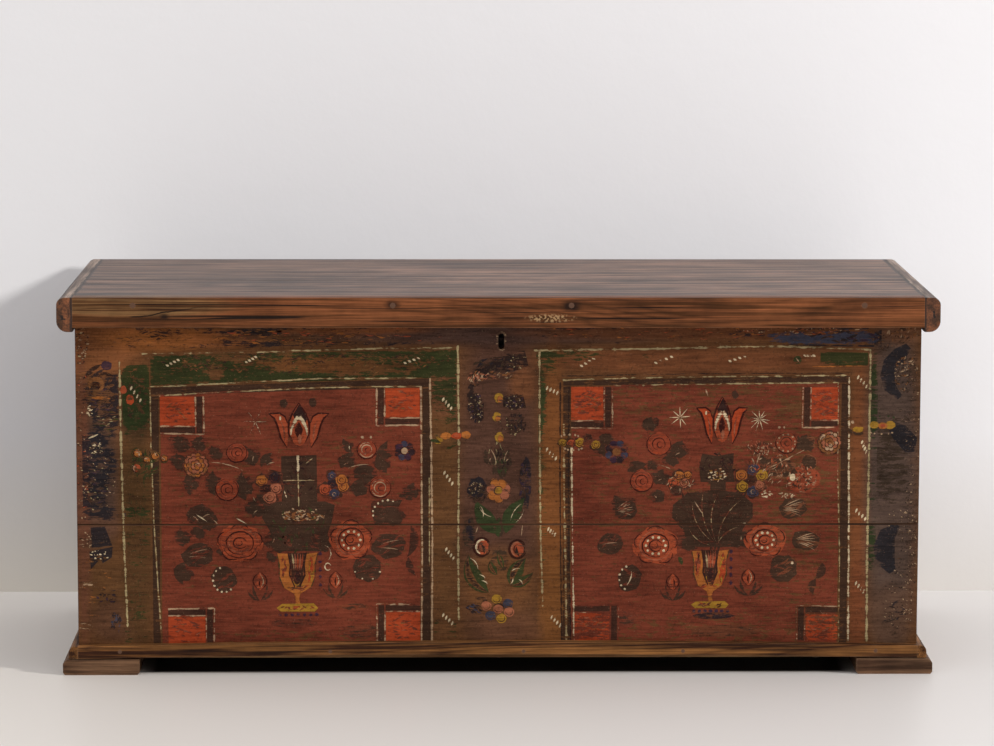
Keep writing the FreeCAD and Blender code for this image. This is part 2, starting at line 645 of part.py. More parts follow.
def lock_plate(nails):
    """The iron plate behind the front, with the keyhole."""
    body = new_body("lock_plate_blank")
    sketch = rectangle(body, "leaf", "XZ_Plane", INNER_FRONT,
                       ("key_x - lock_width / 2", f"{KEY_Z} - lock_below"),
                       ("key_x + lock_width / 2", f"{KEY_Z} + lock_above"))
    pad(body, "plate", sketch, "XZ_Plane", "lock_gauge")
    keyhole(body, "key_slot", "key_slot_width", "key_slot_height")
    bored("lock_plate", body, nails)


def lock_cover(nails):
    """The iron pan over the lock, with a flange at each side and a slot for the staple."""
    body = new_body("lock_cover_blank")
    flange = rectangle(body, "flanges", "XZ_Plane", LOCK_FACE,
                       ("key_x - lock_width / 2", COVER_LOW), ("key_x + lock_width / 2", COVER_HIGH))
    pad(body, "flange_sheet", flange, "XZ_Plane", "cover_gauge")
    left, right = f"key_x - {COVER_HALF}", f"key_x + {COVER_HALF}"
    pan = rectangle(body, "pan", "XZ_Plane", LOCK_FACE, (left, COVER_LOW), (right, COVER_HIGH))
    pad(body, "pan_block", pan, "XZ_Plane", "cover_depth")
    hollow = rectangle(body, "hollow", "XZ_Plane", LOCK_FACE,
                       (f"{left} + cover_gauge", f"{COVER_LOW} + cover_gauge"),
                       (f"{right} - cover_gauge", f"{COVER_HIGH} - cover_gauge"))
    cut_to(body, "hollow_cut", hollow, "cover_depth - cover_gauge")
    slot = rectangle(body, "staple_slot", "XY_Plane", f"{COVER_HIGH} + cover_gauge",
                     (f"{STAPLE_X} - staple_gauge / 2 - staple_swing", f"{LOCK_FACE} - cover_gauge"),
                     (f"{STAPLE_X} + staple_gauge / 2 + staple_swing",
                      f"{LOCK_FACE} + cover_depth - cover_gauge"))
    cut_to(body, "staple_slot_cut", slot, "cover_gauge * 3")
    bored("lock_cover", body, nails)


def lock_works():
    """The key post, the loops that carry the bolt, the spring and the bolt itself."""
    post = doc.addObject("Part::Cylinder", "key_post")
    bind(post, "Radius", "key_post_radius")
    bind(post, "Height", "cover_depth - cover_gauge")
    aim(post, ("key_x", f"{LOCK_FACE} + cover_depth - cover_gauge", KEY_Z), (0, -1, 0))
    keep(post, "lock_key_post")

    loops = []
    for i, share in enumerate(GUIDE_SHARES):
        start = f"{NOSE_X} + {share} * {BOLT_LENGTH}"
        wall = "(guide_wall + guide_play)"
        block = box(f"guide_block_{i}", (start, LOCK_FACE, f"{BOLT_LOW} - {wall}"),
                    (f"{start} + guide_width", f"{BOLT_Y} + bolt_thick + {wall}", f"{BOLT_HIGH} + {wall}"))
        room = box(f"guide_room_{i}", (start, f"{BOLT_Y} - guide_play", f"{BOLT_LOW} - guide_play"),
                   (f"{start} + guide_width", f"{BOLT_Y} + bolt_thick + guide_play",
                    f"{BOLT_HIGH} + guide_play"))
        loop = doc.addObject("Part::Cut", f"guide_loop_{i}")
        loop.Base = block
        loop.Tool = room
        loops.append(loop)
    group("lock_bolt_guides", loops)

    spring = new_body("spring")
    rest = f"({BOLT_HIGH} + spring_play)"
    foot = f"({TAIL_X} + spring_gauge)"
    bend = f"({NOSE_X} + {SPRING_REST_SHARE} * {BOLT_LENGTH})"
    tip = f"({NOSE_X} + {SPRING_TIP_SHARE} * {BOLT_LENGTH})"
    sketch = outline(spring, "leaf", "XZ_Plane", LOCK_FACE,
                     [(tip, f"{rest} + spring_gauge"), (bend, rest), (foot, f"{rest} + spring_rise"),
                      (f"{foot} + spring_foot", f"{rest} + spring_rise"),
                      (f"{foot} + spring_foot", f"{rest} + spring_rise + spring_foot"),
                      (foot, f"{rest} + spring_rise + spring_foot"),
                      (foot, f"{rest} + spring_rise + spring_gauge"),
                      (bend, f"{rest} + spring_gauge"), (tip, f"{rest} + 2 * spring_gauge")])
    pad(spring, "spring_leaf", sketch, "XZ_Plane", "bolt_stand + bolt_thick")
    keep(spring, "lock_spring")

    bolt = new_body("bolt")
    left, right = "(key_x - talon_width / 2)", "(key_x + talon_width / 2)"
    notch = f"({BOLT_LOW} + talon_depth)"
    sketch = outline(bolt, "side_view", "XZ_Plane", BOLT_Y,
                     [(NOSE_X, BOLT_LOW), (left, BOLT_LOW), (left, notch), (right, notch),
                      (right, BOLT_LOW), (TAIL_X, BOLT_LOW), (TAIL_X, BOLT_HIGH), (NOSE_X, BOLT_HIGH)])
    pad(bolt, "bar", sketch, "XZ_Plane", "bolt_thick")
    keep(bolt, "lock_bolt")


def lock_staple(nails):
    """The loop that hangs from the lid into the lock, on its plate."""
    body = new_body("staple_blank")
    half = "(bolt_thick / 2 + staple_play)"
    outer = f"({half} + staple_wall)"
    foot = f"({BOLT_LOW} - staple_play - staple_wall)"
    top = f"({RIM} - staple_plate_thick)"
    hook = outline(body, "loop", "YZ_Plane", f"{STAPLE_X} - staple_gauge / 2",
                   [(f"{STAPLE_Y} - {outer} + staple_round", foot),
                    (f"{STAPLE_Y} + {outer} - staple_round", foot),
                    (f"{STAPLE_Y} + {outer}", f"{foot} + staple_round"),
                    (f"{STAPLE_Y} + {outer}", top), (f"{STAPLE_Y} - {outer}", top),
                    (f"{STAPLE_Y} - {outer}", f"{foot} + staple_round")])
    pad(body, "loop_block", hook, "YZ_Plane", "staple_gauge")
    window = rectangle(body, "window", "YZ_Plane", f"{STAPLE_X} - staple_gauge / 2",
                       (f"{STAPLE_Y} - {half}", f"{foot} + staple_wall"),
                       (f"{STAPLE_Y} + {half}", f"{top} - staple_neck"))
    cut_through(body, "window_cut", window)
    leaf = rectangle(body, "leaf", "XY_Plane", top,
                     (f"{STAPLE_X} - staple_plate_length / 2", f"{STAPLE_Y} - staple_plate_width / 2"),
                     (f"{STAPLE_X} + staple_plate_length / 2", f"{STAPLE_Y} + staple_plate_width / 2"))
    pad(body, "plate", leaf, "XY_Plane", "staple_plate_thick")
    bored("lock_staple", body, nails)


def lid_fasteners():
    """Pegs and nails that hold the lid together, each group with its places."""
    middle = f"({RIM} + lid_thick / 2)"
    strip = [peg(f"strip_peg_{i}", (f"{share} * case_width", LID_FRONT, middle), (0, 1, 0),
                 "peg_radius", "strip_peg_length")
             for i, share in enumerate(STRIP_PEG_SHARES)]
    batten = [peg(f"batten_peg_{side}_{i}",
                  (f"{sign} * ({LID_HALF} + batten_thick)", f"{STRIP_BACK} + {share} * {LID_DEPTH}", middle),
                  (-sign, 0, 0), "peg_radius", "batten_peg_length")
              for side, sign in (("left", -1), ("right", 1)) for i, share in enumerate(BATTEN_PEG_SHARES)]
    straps = [nail(f"strap_nail_{side}_{i}",
                   (f"{sign} * hinge_from_centre", f"{HINGE_Y} - {share} * strap_length",
                    f"{RIM} - strap_thick"), (0, 0, 1), "iron_nail_length")
              for side, sign in (("left", -1), ("right", 1)) for i, share in enumerate(STRAP_NAIL_SHARES)]
    staple = [nail(f"staple_nail_{i}", (f"{STAPLE_X} + {sign} * {STAPLE_NAIL_SHARE} * staple_plate_length",
                                        STAPLE_Y, f"{RIM} - staple_plate_thick"), (0, 0, 1),
                   "iron_nail_length")
              for i, sign in enumerate((-1, 1))]
    return (group("strip_pegs", strip), group("batten_pegs", batten),
            group("hinge_strap_nails", straps), group("staple_nails", staple))


def case_fasteners():
    """Pegs and nails that hold the case together, each group with its places."""
    bottom = [nail(f"bottom_nail_{row}_{i}", (f"{share} * case_width", line, "runner_height"), (0, 0, 1),
                   "bottom_nail_length")
              for row, line in enumerate((f"{CASE_FRONT} + wall_thick / 2", f"{CASE_BACK} - wall_thick / 2"))
              for i, share in enumerate(BOTTOM_NAIL_SHARES)]
    runners = [nail(f"runner_nail_{side}_{i}",
                    (f"{sign} * ({HALF_WIDTH} + runner_reach - runner_width / 2 - wall_thick / 2)",
                     f"{CASE_FRONT} + {share} * case_depth", BASE), (0, 0, -1), "runner_nail_length")
               for side, sign in (("left", -1), ("right", 1)) for i, share in enumerate(RUNNER_NAIL_SHARES)]
    level = f"(runner_height + {PLINTH_PEG_LEVEL_SHARE} * bottom_thick)"
    plinth = [peg(f"plinth_peg_{i}", (f"{share} * case_width", f"{CASE_FRONT} - plinth_thick", level),
                  (0, 1, 0), "plinth_peg_radius", "plinth_peg_length")
              for i, share in enumerate(PLINTH_PEG_SHARES)]
    plinth += [peg(f"plinth_peg_{side}_{i}",
                   (f"{sign} * ({HALF_WIDTH} + plinth_thick)", f"{CASE_FRONT} + {share} * case_depth", level),
                   (-sign, 0, 0), "plinth_peg_radius", "plinth_peg_length")
               for side, sign in (("left", -1), ("right", 1))
               for i, share in enumerate(PLINTH_SIDE_PEG_SHARES)]
    plates = [nail(f"plate_nail_{side}_{edge}_{i}",
                   (f"{sign} * hinge_from_centre + {edge} * {PLATE_NAIL_WIDTH_SHARE} * plate_width",
                    f"{CASE_BACK} + plate_thick", f"{HINGE_Z} - {share} * plate_height"), (0, -1, 0),
                   "iron_nail_length")
              for side, sign in (("left", -1), ("right", 1)) for edge in (-1, 1)
              for i, share in enumerate(PLATE_NAIL_HEIGHT_SHARES)]
    inset = "(flange_width / 2)"
    lock = [nail(f"lock_nail_{edge}_{i}",
                 (f"key_x + {edge} * (lock_width / 2 - {inset})", f"{LOCK_FACE} + cover_gauge", height),
                 (0, -1, 0), "iron_nail_length")
            for edge in (-1, 1)
            for i, height in enumerate((f"{COVER_LOW} + {inset}", f"{COVER_HIGH} - {inset}"))]
    return (group("bottom_nails", bottom), group("runner_nails", runners), group("plinth_pegs", plinth),
            group("hinge_plate_nails", plates), group("lock_nails", lock))


def build():
    strip_pegs, batten_pegs, strap_nails, staple_nails = lid_fasteners()
    bottom_nails, runner_nails, plinth_pegs, plate_nails, lock_nails = case_fasteners()
    lower, upper = front_walls()
    bored("front_board_lower", lower, bottom_nails)
    bored("front_board_upper", upper, lock_nails)
    lower, upper = back_walls()
    bored("back_board_lower", lower, bottom_nails)
    bored("back_board_upper", upper, plate_nails)
    for side, sign in (("left", -1), ("right", 1)):
        keep(side_board(f"{side}_lower", sign, upper=False), f"{side}_side_board_lower")
        keep(side_board(f"{side}_upper", sign, upper=True), f"{side}_side_board_upper")
    bottom_boards((bottom_nails, runner_nails, plinth_pegs))
    plinth_front(plinth_pegs)
    lid_boards((strip_pegs, batten_pegs, strap_nails, staple_nails))
    lid_strip(strip_pegs)
    for side, sign in (("left", -1), ("right", 1)):
        plinth_side(side, sign, plinth_pegs)
        runner(side, sign, runner_nails)
        lid_batten(side, sign, batten_pegs)
        hinge(side, sign, strap_nails, plate_nails)
    lock_plate(lock_nails)
    lock_cover(lock_nails)
    lock_works()
    lock_staple(staple_nails)
    doc.recompute()


def write_pieces():
    """Stop on any failed object or bad solid, then write each piece to its own file."""
    for thing in doc.Objects:
        if "Invalid" in thing.State or "Error" in thing.State:
            raise RuntimeError(f"{thing.Name} ({thing.Label}) failed: {thing.State}")
    for piece in pieces:
        shape = piece.Shape
        if shape.isNull() or not shape.isValid() or not shape.Solids:
            raise RuntimeError(f"{piece.Label} has no valid solid")
    os.makedirs("parts", exist_ok=True)
    for piece in pieces:
        piece.Shape.exportStep(f"parts/{piece.Label}.step")
    print(len(pieces), "pieces written")


build()
write_pieces()
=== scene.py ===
"""A painted dower chest in old softwood, with its worn folk painting, on a pale studio floor."""

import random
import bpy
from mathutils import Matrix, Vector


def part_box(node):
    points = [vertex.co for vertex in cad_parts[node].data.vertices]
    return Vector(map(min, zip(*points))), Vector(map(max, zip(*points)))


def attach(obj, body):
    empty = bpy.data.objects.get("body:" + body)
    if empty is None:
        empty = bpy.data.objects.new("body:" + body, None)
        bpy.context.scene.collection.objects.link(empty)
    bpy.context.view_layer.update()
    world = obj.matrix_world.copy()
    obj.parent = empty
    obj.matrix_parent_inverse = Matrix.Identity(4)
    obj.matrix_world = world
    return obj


bl_info = {
    "name": "Painted dower chest",
    "version": (1, 0, 0),
    "blender": (4, 5, 0),
    "location": "3D View > Sidebar > Chest",
    "description": "Dresses the chest's boards, paints its front and sets the stage",
    "category": "Add Mesh",
}

from math import cos, degrees, hypot, log, pi, radians, sin, sqrt

import bmesh
import bpy
from mathutils import Euler, Matrix, Vector

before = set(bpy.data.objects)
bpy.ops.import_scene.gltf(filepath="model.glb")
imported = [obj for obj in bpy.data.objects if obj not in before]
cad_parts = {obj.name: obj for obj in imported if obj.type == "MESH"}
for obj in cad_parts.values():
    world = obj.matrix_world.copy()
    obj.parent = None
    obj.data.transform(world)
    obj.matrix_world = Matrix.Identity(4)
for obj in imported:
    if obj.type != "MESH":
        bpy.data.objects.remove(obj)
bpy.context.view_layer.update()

# Places on the chest, in metres, read from its boards.
MM = 0.001
FRONT_LOW, FRONT_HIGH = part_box("front_board_upper")
LOWER_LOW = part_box("front_board_lower")[0]
BACK_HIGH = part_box("back_board_upper")[1]
LID_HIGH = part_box("lid_board_front")[1]
STRIP_LOW, STRIP_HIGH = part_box("lid_front_strip")
FRONT_FACE = FRONT_LOW.y
WALL = FRONT_HIGH.y - FRONT_LOW.y

# The same places in millimetres on the front: X from the chest's middle, Z from the floor.
HALF = FRONT_HIGH.x / MM
FOOT = LOWER_LOW.z / MM
JOINT = FRONT_LOW.z / MM
RIM = FRONT_HIGH.z / MM
# The keyhole: its middle, and half its width and height with a little room.
KEY_X, KEY_Z = 4, 558
KEY_HALF_WIDE, KEY_HALF_TALL = 5.2, 13.2


def linear(code):
    """The linear colour of an sRGB hex value."""
    shares = [int(code[i:i + 2], 16) / 255 for i in (1, 3, 5)]
    return [s / 12.92 if s <= 0.04045 else ((s + 0.055) / 1.055) ** 2.4 for s in shares]


def colour_setting(name, code, note):
    return bpy.props.FloatVectorProperty(
        name=name, description=note, default=linear(code), subtype="COLOR", size=3, min=0, max=1)


def size_setting(name, metres, note):
    return bpy.props.FloatProperty(
        name=name, description=note, default=metres, unit="LENGTH", subtype="DISTANCE", min=0)


class ChestWoodSettings(bpy.types.PropertyGroup):
    """Colours and sizes of the old boards and the ironwork."""

    lid: colour_setting("Lid", "#866552", "Grey-brown worn top of the lid")
    lid_dark: colour_setting("Lid grain", "#30211a", "Dark late wood and dirt on the lid")
    strip: colour_setting("Strip", "#824d2d", "Warm varnished strip along the lid's front edge")
    strip_bare: colour_setting("Strip, faded", "#876540", "Left end of the strip, where the varnish has gone olive")
    strip_dark: colour_setting("Strip grain", "#482a14", "Dark late wood of the strip")
    batten: colour_setting("Batten", "#8a7667", "Grey worn battens")
    batten_dark: colour_setting("Batten grain", "#4b3a30", "Dark late wood of the battens")
    case: colour_setting("Case outside", "#5a3c28", "Brown stained outside of the case")
    case_dark: colour_setting("Case grain", "#3a261a", "Dark late wood outside")
    inside: colour_setting("Inside", "#91704c", "Raw softwood inside the chest")
    inside_dark: colour_setting("Inside grain", "#6a4a2e", "Late wood inside the chest")
    plinth: colour_setting("Base strip", "#86592f", "Brown worn base strips")
    plinth_dark: colour_setting("Base strip grain", "#331b0e", "Dark parts of the base strips")
    runner: colour_setting("Runner", "#775840", "Raw runners")
    runner_dark: colour_setting("Runner grain", "#473021", "Dark grain of the runners")
    peg: colour_setting("Peg", "#5a3a24", "End grain of the pegs")
    iron: colour_setting("Iron", "#3a3634", "Blackened wrought iron")
    rust: colour_setting("Rust", "#5c3422", "Rust on the iron")
    fibre: size_setting("Fibre", 0.0018, "Width of a fibre line, drawn coarser than real to show")
    ring: size_setting("Growth ring", 0.007, "Spacing of the grain lines on a flat sawn board")
    edge: size_setting("Edge wear", 0.004, "How far rubbed edges reach in from an arris")


class ChestPaintSettings(bpy.types.PropertyGroup):
    """Colours and sizes of the painting on the front."""

    red: colour_setting("Oxide red", "#652d1f", "Fields of the two panels")
    orange: colour_setting("Red lead", "#93391c", "Corner squares")
    green: colour_setting("Verdigris green", "#1c2a13", "Bands around the panels")
    leaf_green: colour_setting("Leaf green", "#24331a", "Fresh remains of green")
    navy: colour_setting("Indigo", "#16181d", "Dark blue of the margins")
    blue: colour_setting("Blue", "#27303f", "Small blue petals and dots")
    violet: colour_setting("Violet", "#241c2b", "Dots and shades of violet black")
    cream: colour_setting("Lime white", "#bba886", "Dots and strokes")
    dull: colour_setting("Dulled white", "#94845f", "The ruled lines, yellowed and rubbed")
    brown: colour_setting("Umber", "#2e1f17", "Bands between the lines")
    foliage: colour_setting("Foliage", "#30251b", "Browned green of the leaves")
    black: colour_setting("Lamp black", "#1b1514", "Scrolls and outlines")
    maroon: colour_setting("Maroon", "#260c09", "Outlines of the roses")
    rose: colour_setting("Rose", "#8d3f25", "Roses and tulips")
    russet: colour_setting("Russet", "#7a3521", "Small roses, little lighter than the fields")
    bronze: colour_setting("Bronze", "#6f4626", "Full flowers of browned yellow")
    pink: colour_setting("Pink", "#8c523a", "Light petals")
    ochre: colour_setting("Ochre", "#935625", "Ochre flowers and the vases")
    yellow: colour_setting("Yellow", "#8c6821", "Yellow blossoms")
    chip: colour_setting("Chipped ground", "#9a7f62", "Chips that show the pale priming")
    line: size_setting("Line width", 0.0036, "Width of the painted lines")
    coat: size_setting("Coat", 0.00005, "Thickness of a layer of paint")
    flake: size_setting("Flake", 0.016, "Length of a worn flake, along the grain")


class ChestStageSettings(bpy.types.PropertyGroup):
    """The room around the chest."""

    wall: colour_setting("Wall", "#f8f7f8", "Whitewashed wall")
    floor: colour_setting("Floor", "#e2ddd8", "Pale painted floor")
    wall_gap: size_setting("Wall", 0.445, "Wall behind the chest, from the chest's middle")


# How a Mix node takes two colours: one over the other, or multiplied.
BLENDED = {"data_type": "RGBA"}
SHADED = {"data_type": "RGBA", "blend_type": "MULTIPLY"}


def put(socket, given):
    """Link a socket to what feeds it, or set its value."""
    if isinstance(given, bpy.types.NodeSocket):
        socket.id_data.links.new(given, socket)
    elif given is not None:
        socket.default_value = given


def add(tree, kind, *inputs, **settings):
    """Add a node with its settings, fill its open inputs in their order, and return its first output."""
    node = tree.nodes.new(f"ShaderNode{kind}")
    for key, setting in settings.items():
        setattr(node, key, setting)
    for socket, given in zip([s for s in node.inputs if s.enabled], inputs):
        put(socket, given)
    return next((s for s in node.outputs if s.enabled), None)


def feed(sockets, given):
    """Fill sockets by their names."""
    for name, value in given.items():
        put(sockets[name], value)


def new_group(name, inputs, outputs):
    """An empty node group with its sockets, and its input and output nodes."""
    tree = bpy.data.node_groups.new(name, "ShaderNodeTree")
    for direction, sockets in (("INPUT", inputs), ("OUTPUT", outputs)):
        for label, kind in sockets:
            tree.interface.new_socket(label, in_out=direction, socket_type=f"NodeSocket{kind}")
    entry = tree.nodes.new("NodeGroupInput")
    leave = tree.nodes.new("NodeGroupOutput")
    return tree, entry.outputs, leave.inputs


def rgba(colour):
    return (*colour, 1)


def plank_group(settings):
    """Softwood sawn flat: growth rings as long wavering lines, fine fibres, checks and dirt."""
    tree, given, result = new_group(
        "Flat sawn softwood",
        [("Along", "Vector"), ("Early", "Color"), ("Late", "Color"), ("Grain", "Float"), ("Rings", "Float"),
         ("Checks", "Float")],
        [("Colour", "Color"), ("Height", "Float")])
    chance = add(tree, "ObjectInfo").node.outputs["Random"]
    shift = add(tree, "Math", chance, 9, operation="MULTIPLY")
    place = add(tree, "VectorMath", given["Along"], shift, operation="ADD")
    squeeze = add(tree, "CombineXYZ", 1, given["Grain"], given["Grain"])
    place = add(tree, "VectorMath", place, squeeze, operation="MULTIPLY")

    def along_grain(long, across, detail, roughness):
        coords = add(tree, "VectorMath", place, (long, across, across), operation="MULTIPLY")
        return add(tree, "TexNoise", coords, 1, detail, roughness, None, 0.2)

    # Growth rings are contour lines of a long soft swell, one every few millimetres.
    swell = along_grain(0.7, 0.05 / settings.ring, 2, 0.4)
    turns = add(tree, "Math", swell, 50, operation="MULTIPLY")
    rings = add(tree, "Math", turns, 1, operation="PINGPONG")
    rings = add(tree, "Math", rings, 2.2, operation="POWER")
    rings = add(tree, "Math", rings, given["Rings"], operation="MULTIPLY")
    streaks = along_grain(2.4, 75, 5, 0.62)
    dark = add(tree, "MapRange", streaks, 0.4, 0.64)
    share = add(tree, "Math", rings, dark, operation="ADD")
    wood = add(tree, "Mix", share, given["Early"], given["Late"], **BLENDED)
    fibres = along_grain(9, 1 / settings.fibre, 3, 0.65)
    lines = add(tree, "MapRange", fibres, 0.32, 0.68, 0.5, 1.5)
    wood = add(tree, "Mix", 1, wood, lines, **SHADED)
    # Drying checks: thin dark cracks that run with the grain.
    cracked = along_grain(2.6, 150, 2, 0.5)
    checks = add(tree, "MapRange", cracked, 0.64, 0.69)
    checks = add(tree, "Math", checks, given["Checks"], operation="MULTIPLY")
    wood = add(tree, "Mix", checks, wood, rgba(linear("#1d130d")), **BLENDED)
    blotches = add(tree, "TexNoise", given["Along"], 9, 6, 0.65)
    tone = add(tree, "MapRange", blotches, 0.3, 0.7, 0.66, 1.34)
    wood = add(tree, "Mix", 1, wood, tone, **SHADED)
    raised = add(tree, "Math", fibres, checks, operation="SUBTRACT")
    feed(result, {"Colour": wood, "Height": raised})
    return tree


def rubbed_edge_group(settings):
    """Where an arris has been rubbed: the rounded normal turns away from the flat one."""
    tree, given, result = new_group("Rubbed edge", [("Reach", "Float")], [("Wear", "Float")])
    rounded = add(tree, "Bevel", settings.edge, samples=6)
    flat = add(tree, "NewGeometry").node.outputs["Normal"]
    turn = add(tree, "VectorMath", rounded, flat, operation="DOT_PRODUCT")
    place = add(tree, "TexCoord").node.outputs["Object"]
    uneven = add(tree, "TexNoise", place, 26, 5, 0.7)
    reach = add(tree, "MapRange", turn, 0.985, 0.8, 0, 1)
    patchy = add(tree, "MapRange", uneven, 0.36, 0.6)
    worn = add(tree, "Math", reach, patchy, operation="MULTIPLY")
    feed(result, {"Wear": add(tree, "Math", worn, given["Reach"], operation="MULTIPLY")})
    return tree


def new_material(name):
    """An empty material with its shader."""
    material = bpy.data.materials.new(name)
    material.use_nodes = True
    tree = material.node_tree
    shader = tree.nodes["Principled BSDF"]
    return material, tree, shader


def old_board(name, kit, early, late, along="X", other=None, wear=0.3, roughness=0.5, grain=1.0, rings=0.5,
              checks=0.7, dark=(), shine=0.12, scuffs=None):
    """Old softwood. other is (mask maker, early, late) for faces of another colour; dark makes marks."""
    material, tree, shader = new_material(name)
    coords = add(tree, "TexCoord").node
    place = coords.outputs["Object"]
    if along == "Y":
        parts = add(tree, "SeparateXYZ", place).node.outputs
        place = add(tree, "CombineXYZ", parts["Y"], parts["X"], parts["Z"])
    plank = add(tree, "Group", node_tree=kit["plank"]).node
    feed(plank.inputs, {"Along": place, "Early": rgba(early), "Late": rgba(late), "Grain": grain, "Rings": rings,
                        "Checks": checks})
    if other:
        mark, other_early, other_late = other
        mask = mark(tree, coords)
        for socket, usual, unusual in (("Early", early, other_early), ("Late", late, other_late)):
            feed(plank.inputs, {socket: add(tree, "Mix", mask, rgba(usual), rgba(unusual), **BLENDED)})
    rubbed = add(tree, "Group", node_tree=kit["edge"]).node
    feed(rubbed.inputs, {"Reach": wear})
    bare = add(tree, "Mix", 0.4, rgba(early), rgba(linear("#b39a80")), **BLENDED)
    colour = add(tree, "Mix", rubbed.outputs["Wear"], plank.outputs["Colour"], bare, **BLENDED)
    for make in dark:
        colour = add(tree, "Mix", make(tree, coords), colour, rgba(linear("#1c120d")), **BLENDED)
    if scuffs:
        # Scuffed through to the pale wood, in grains 4 mm across.
        near = patch_on_front(*scuffs)(tree, coords)
        grains = add(tree, "TexNoise", coords.outputs["Object"], 260, 3)
        grains = add(tree, "MapRange", grains, 0.48, 0.56)
        share = add(tree, "Math", grains, near, operation="MULTIPLY")
        colour = add(tree, "Mix", share, colour, rgba(linear("#a5835c")), **BLENDED)
    sheen = add(tree, "MapRange", plank.outputs["Height"], 0.2, 0.8, roughness + 0.1, roughness - 0.06)
    bump = add(tree, "Bump", 0.4, 0.0008, None, plank.outputs["Height"])
    feed(shader.inputs, {"Base Color": colour, "Roughness": sheen, "Normal": bump, "IOR": 1.48,
                         "Specular IOR Level": shine})
    return material


def seams(planes):
    """Marks where dirt fills the joints. planes are (axis, place, half width), X counted from the middle."""
    def make(tree, coords):
        parts = add(tree, "SeparateXYZ", coords.outputs["Object"]).node.outputs
        uneven = add(tree, "TexNoise", coords.outputs["Object"], 45, 4)
        mask = 0.0
        for axis, place, half in planes:
            reach = add(tree, "Math", parts[axis], operation="ABSOLUTE") if axis == "X" else parts[axis]
            off = add(tree, "Math", reach, place, operation="SUBTRACT")
            off = add(tree, "Math", off, operation="ABSOLUTE")
            room = add(tree, "MapRange", uneven, 0.35, 0.65, half * 0.5, half * 1.5)
            share = add(tree, "Math", off, room, operation="DIVIDE")
            share = add(tree, "MapRange", share, 1, 0.5, 0, 0.88)
            mask = add(tree, "Math", share, mask, operation="MAXIMUM")
        return mask
    return make


def crack(start, end, half, across):
    """A mark along a split in the grain, from start to end as (X, other axis), which across names."""
    def make(tree, coords):
        parts = add(tree, "SeparateXYZ", coords.outputs["Object"]).node.outputs
        place = add(tree, "CombineXYZ", parts["X"], parts[across])
        from_start = add(tree, "VectorMath", place, (*start, 0), operation="SUBTRACT")
        run = Vector((end[0] - start[0], end[1] - start[1]))
        ahead = run.normalized()
        along = add(tree, "VectorMath", from_start, (*ahead, 0), operation="DOT_PRODUCT")
        off = add(tree, "VectorMath", from_start, (-ahead.y, ahead.x, 0), operation="DOT_PRODUCT")
        sway = add(tree, "TexNoise", coords.outputs["Object"], 16, 4)
        sway = add(tree, "MapRange", sway, 0, 1, -half * 5, half * 5)
        off = add(tree, "Math", off, sway, operation="ADD")
        off = add(tree, "Math", off, operation="ABSOLUTE")
        near = add(tree, "MapRange", off, half, half * 0.4)
        tail = add(tree, "MapRange", along, run.length, run.length * 0.4)
        head = add(tree, "MapRange", along, 0, run.length * 0.05)
        inside = add(tree, "Math", tail, head, operation="MULTIPLY")
        return add(tree, "Math", near, inside, operation="MULTIPLY")
    return make


def knots(places):
    """Marks for knots on a front face, as (X, Z, radius)."""
    def make(tree, coords):
        sway = add(tree, "TexNoise", coords.outputs["Object"], 60, 3)
        mask = 0.0
        for x, z, radius in places:
            away = add(tree, "VectorMath", coords.outputs["Object"], (x, STRIP_LOW.y, z), operation="SUBTRACT")
            away = add(tree, "VectorMath", away, (0.55, 1, 1), operation="MULTIPLY")
            far = add(tree, "VectorMath", away, operation="LENGTH")
            share = add(tree, "MapRange", far, radius * 1.5, radius * 0.5)
            share = add(tree, "Math", share, sway, operation="MULTIPLY")
            mask = add(tree, "Math", share, mask, operation="MAXIMUM")
        return add(tree, "MapRange", mask, 0, 0.55, 0, 0.92)
    return make


def darker_along_x(start, end, most):
    """A darkening that thins out along X."""
    def make(tree, coords):
        along = add(tree, "SeparateXYZ", coords.outputs["Object"]).node.outputs["X"]
        return add(tree, "MapRange", along, start, end, most, 0)
    return make


def patch_on_front(centre, reach):
    """A soft patch on a face seen from the front: middle and half sizes, along X and Z."""
    def make(tree, coords):
        away = add(tree, "VectorMath", coords.outputs["Object"], (centre[0], 0, centre[1]), operation="SUBTRACT")
        away = add(tree, "VectorMath", away, (1 / reach[0], 0, 1 / reach[1]), operation="MULTIPLY")
        far = add(tree, "VectorMath", away, operation="LENGTH")
        return add(tree, "MapRange", far, 1.15, 0.7)
    return make


def inside_the_case(tree, coords):
    """1 on the faces that look into the chest."""
    parts = add(tree, "SeparateXYZ", coords.outputs["Object"]).node.outputs
    reach = HALF * MM - WALL + 0.0004
    middle = (FRONT_FACE + BACK_HIGH.y) / 2
    depth = (BACK_HIGH.y - FRONT_FACE) / 2 - WALL + 0.0004
    side = add(tree, "Math", parts["X"], operation="ABSOLUTE")
    near_x = add(tree, "Math", side, reach, operation="LESS_THAN")
    from_middle = add(tree, "Math", parts["Y"], middle, operation="SUBTRACT")
    side = add(tree, "Math", from_middle, operation="ABSOLUTE")
    near_y = add(tree, "Math", side, depth, operation="LESS_THAN")
    return add(tree, "Math", near_x, near_y, operation="MULTIPLY")


def facing(axis):
    """Marks the faces that look down (Z) or to the front (Y)."""
    def make(tree, coords):
        parts = add(tree, "SeparateXYZ", coords.outputs["Normal"]).node.outputs
        return add(tree, "Math", parts[axis], -0.6, operation="LESS_THAN")
    return make


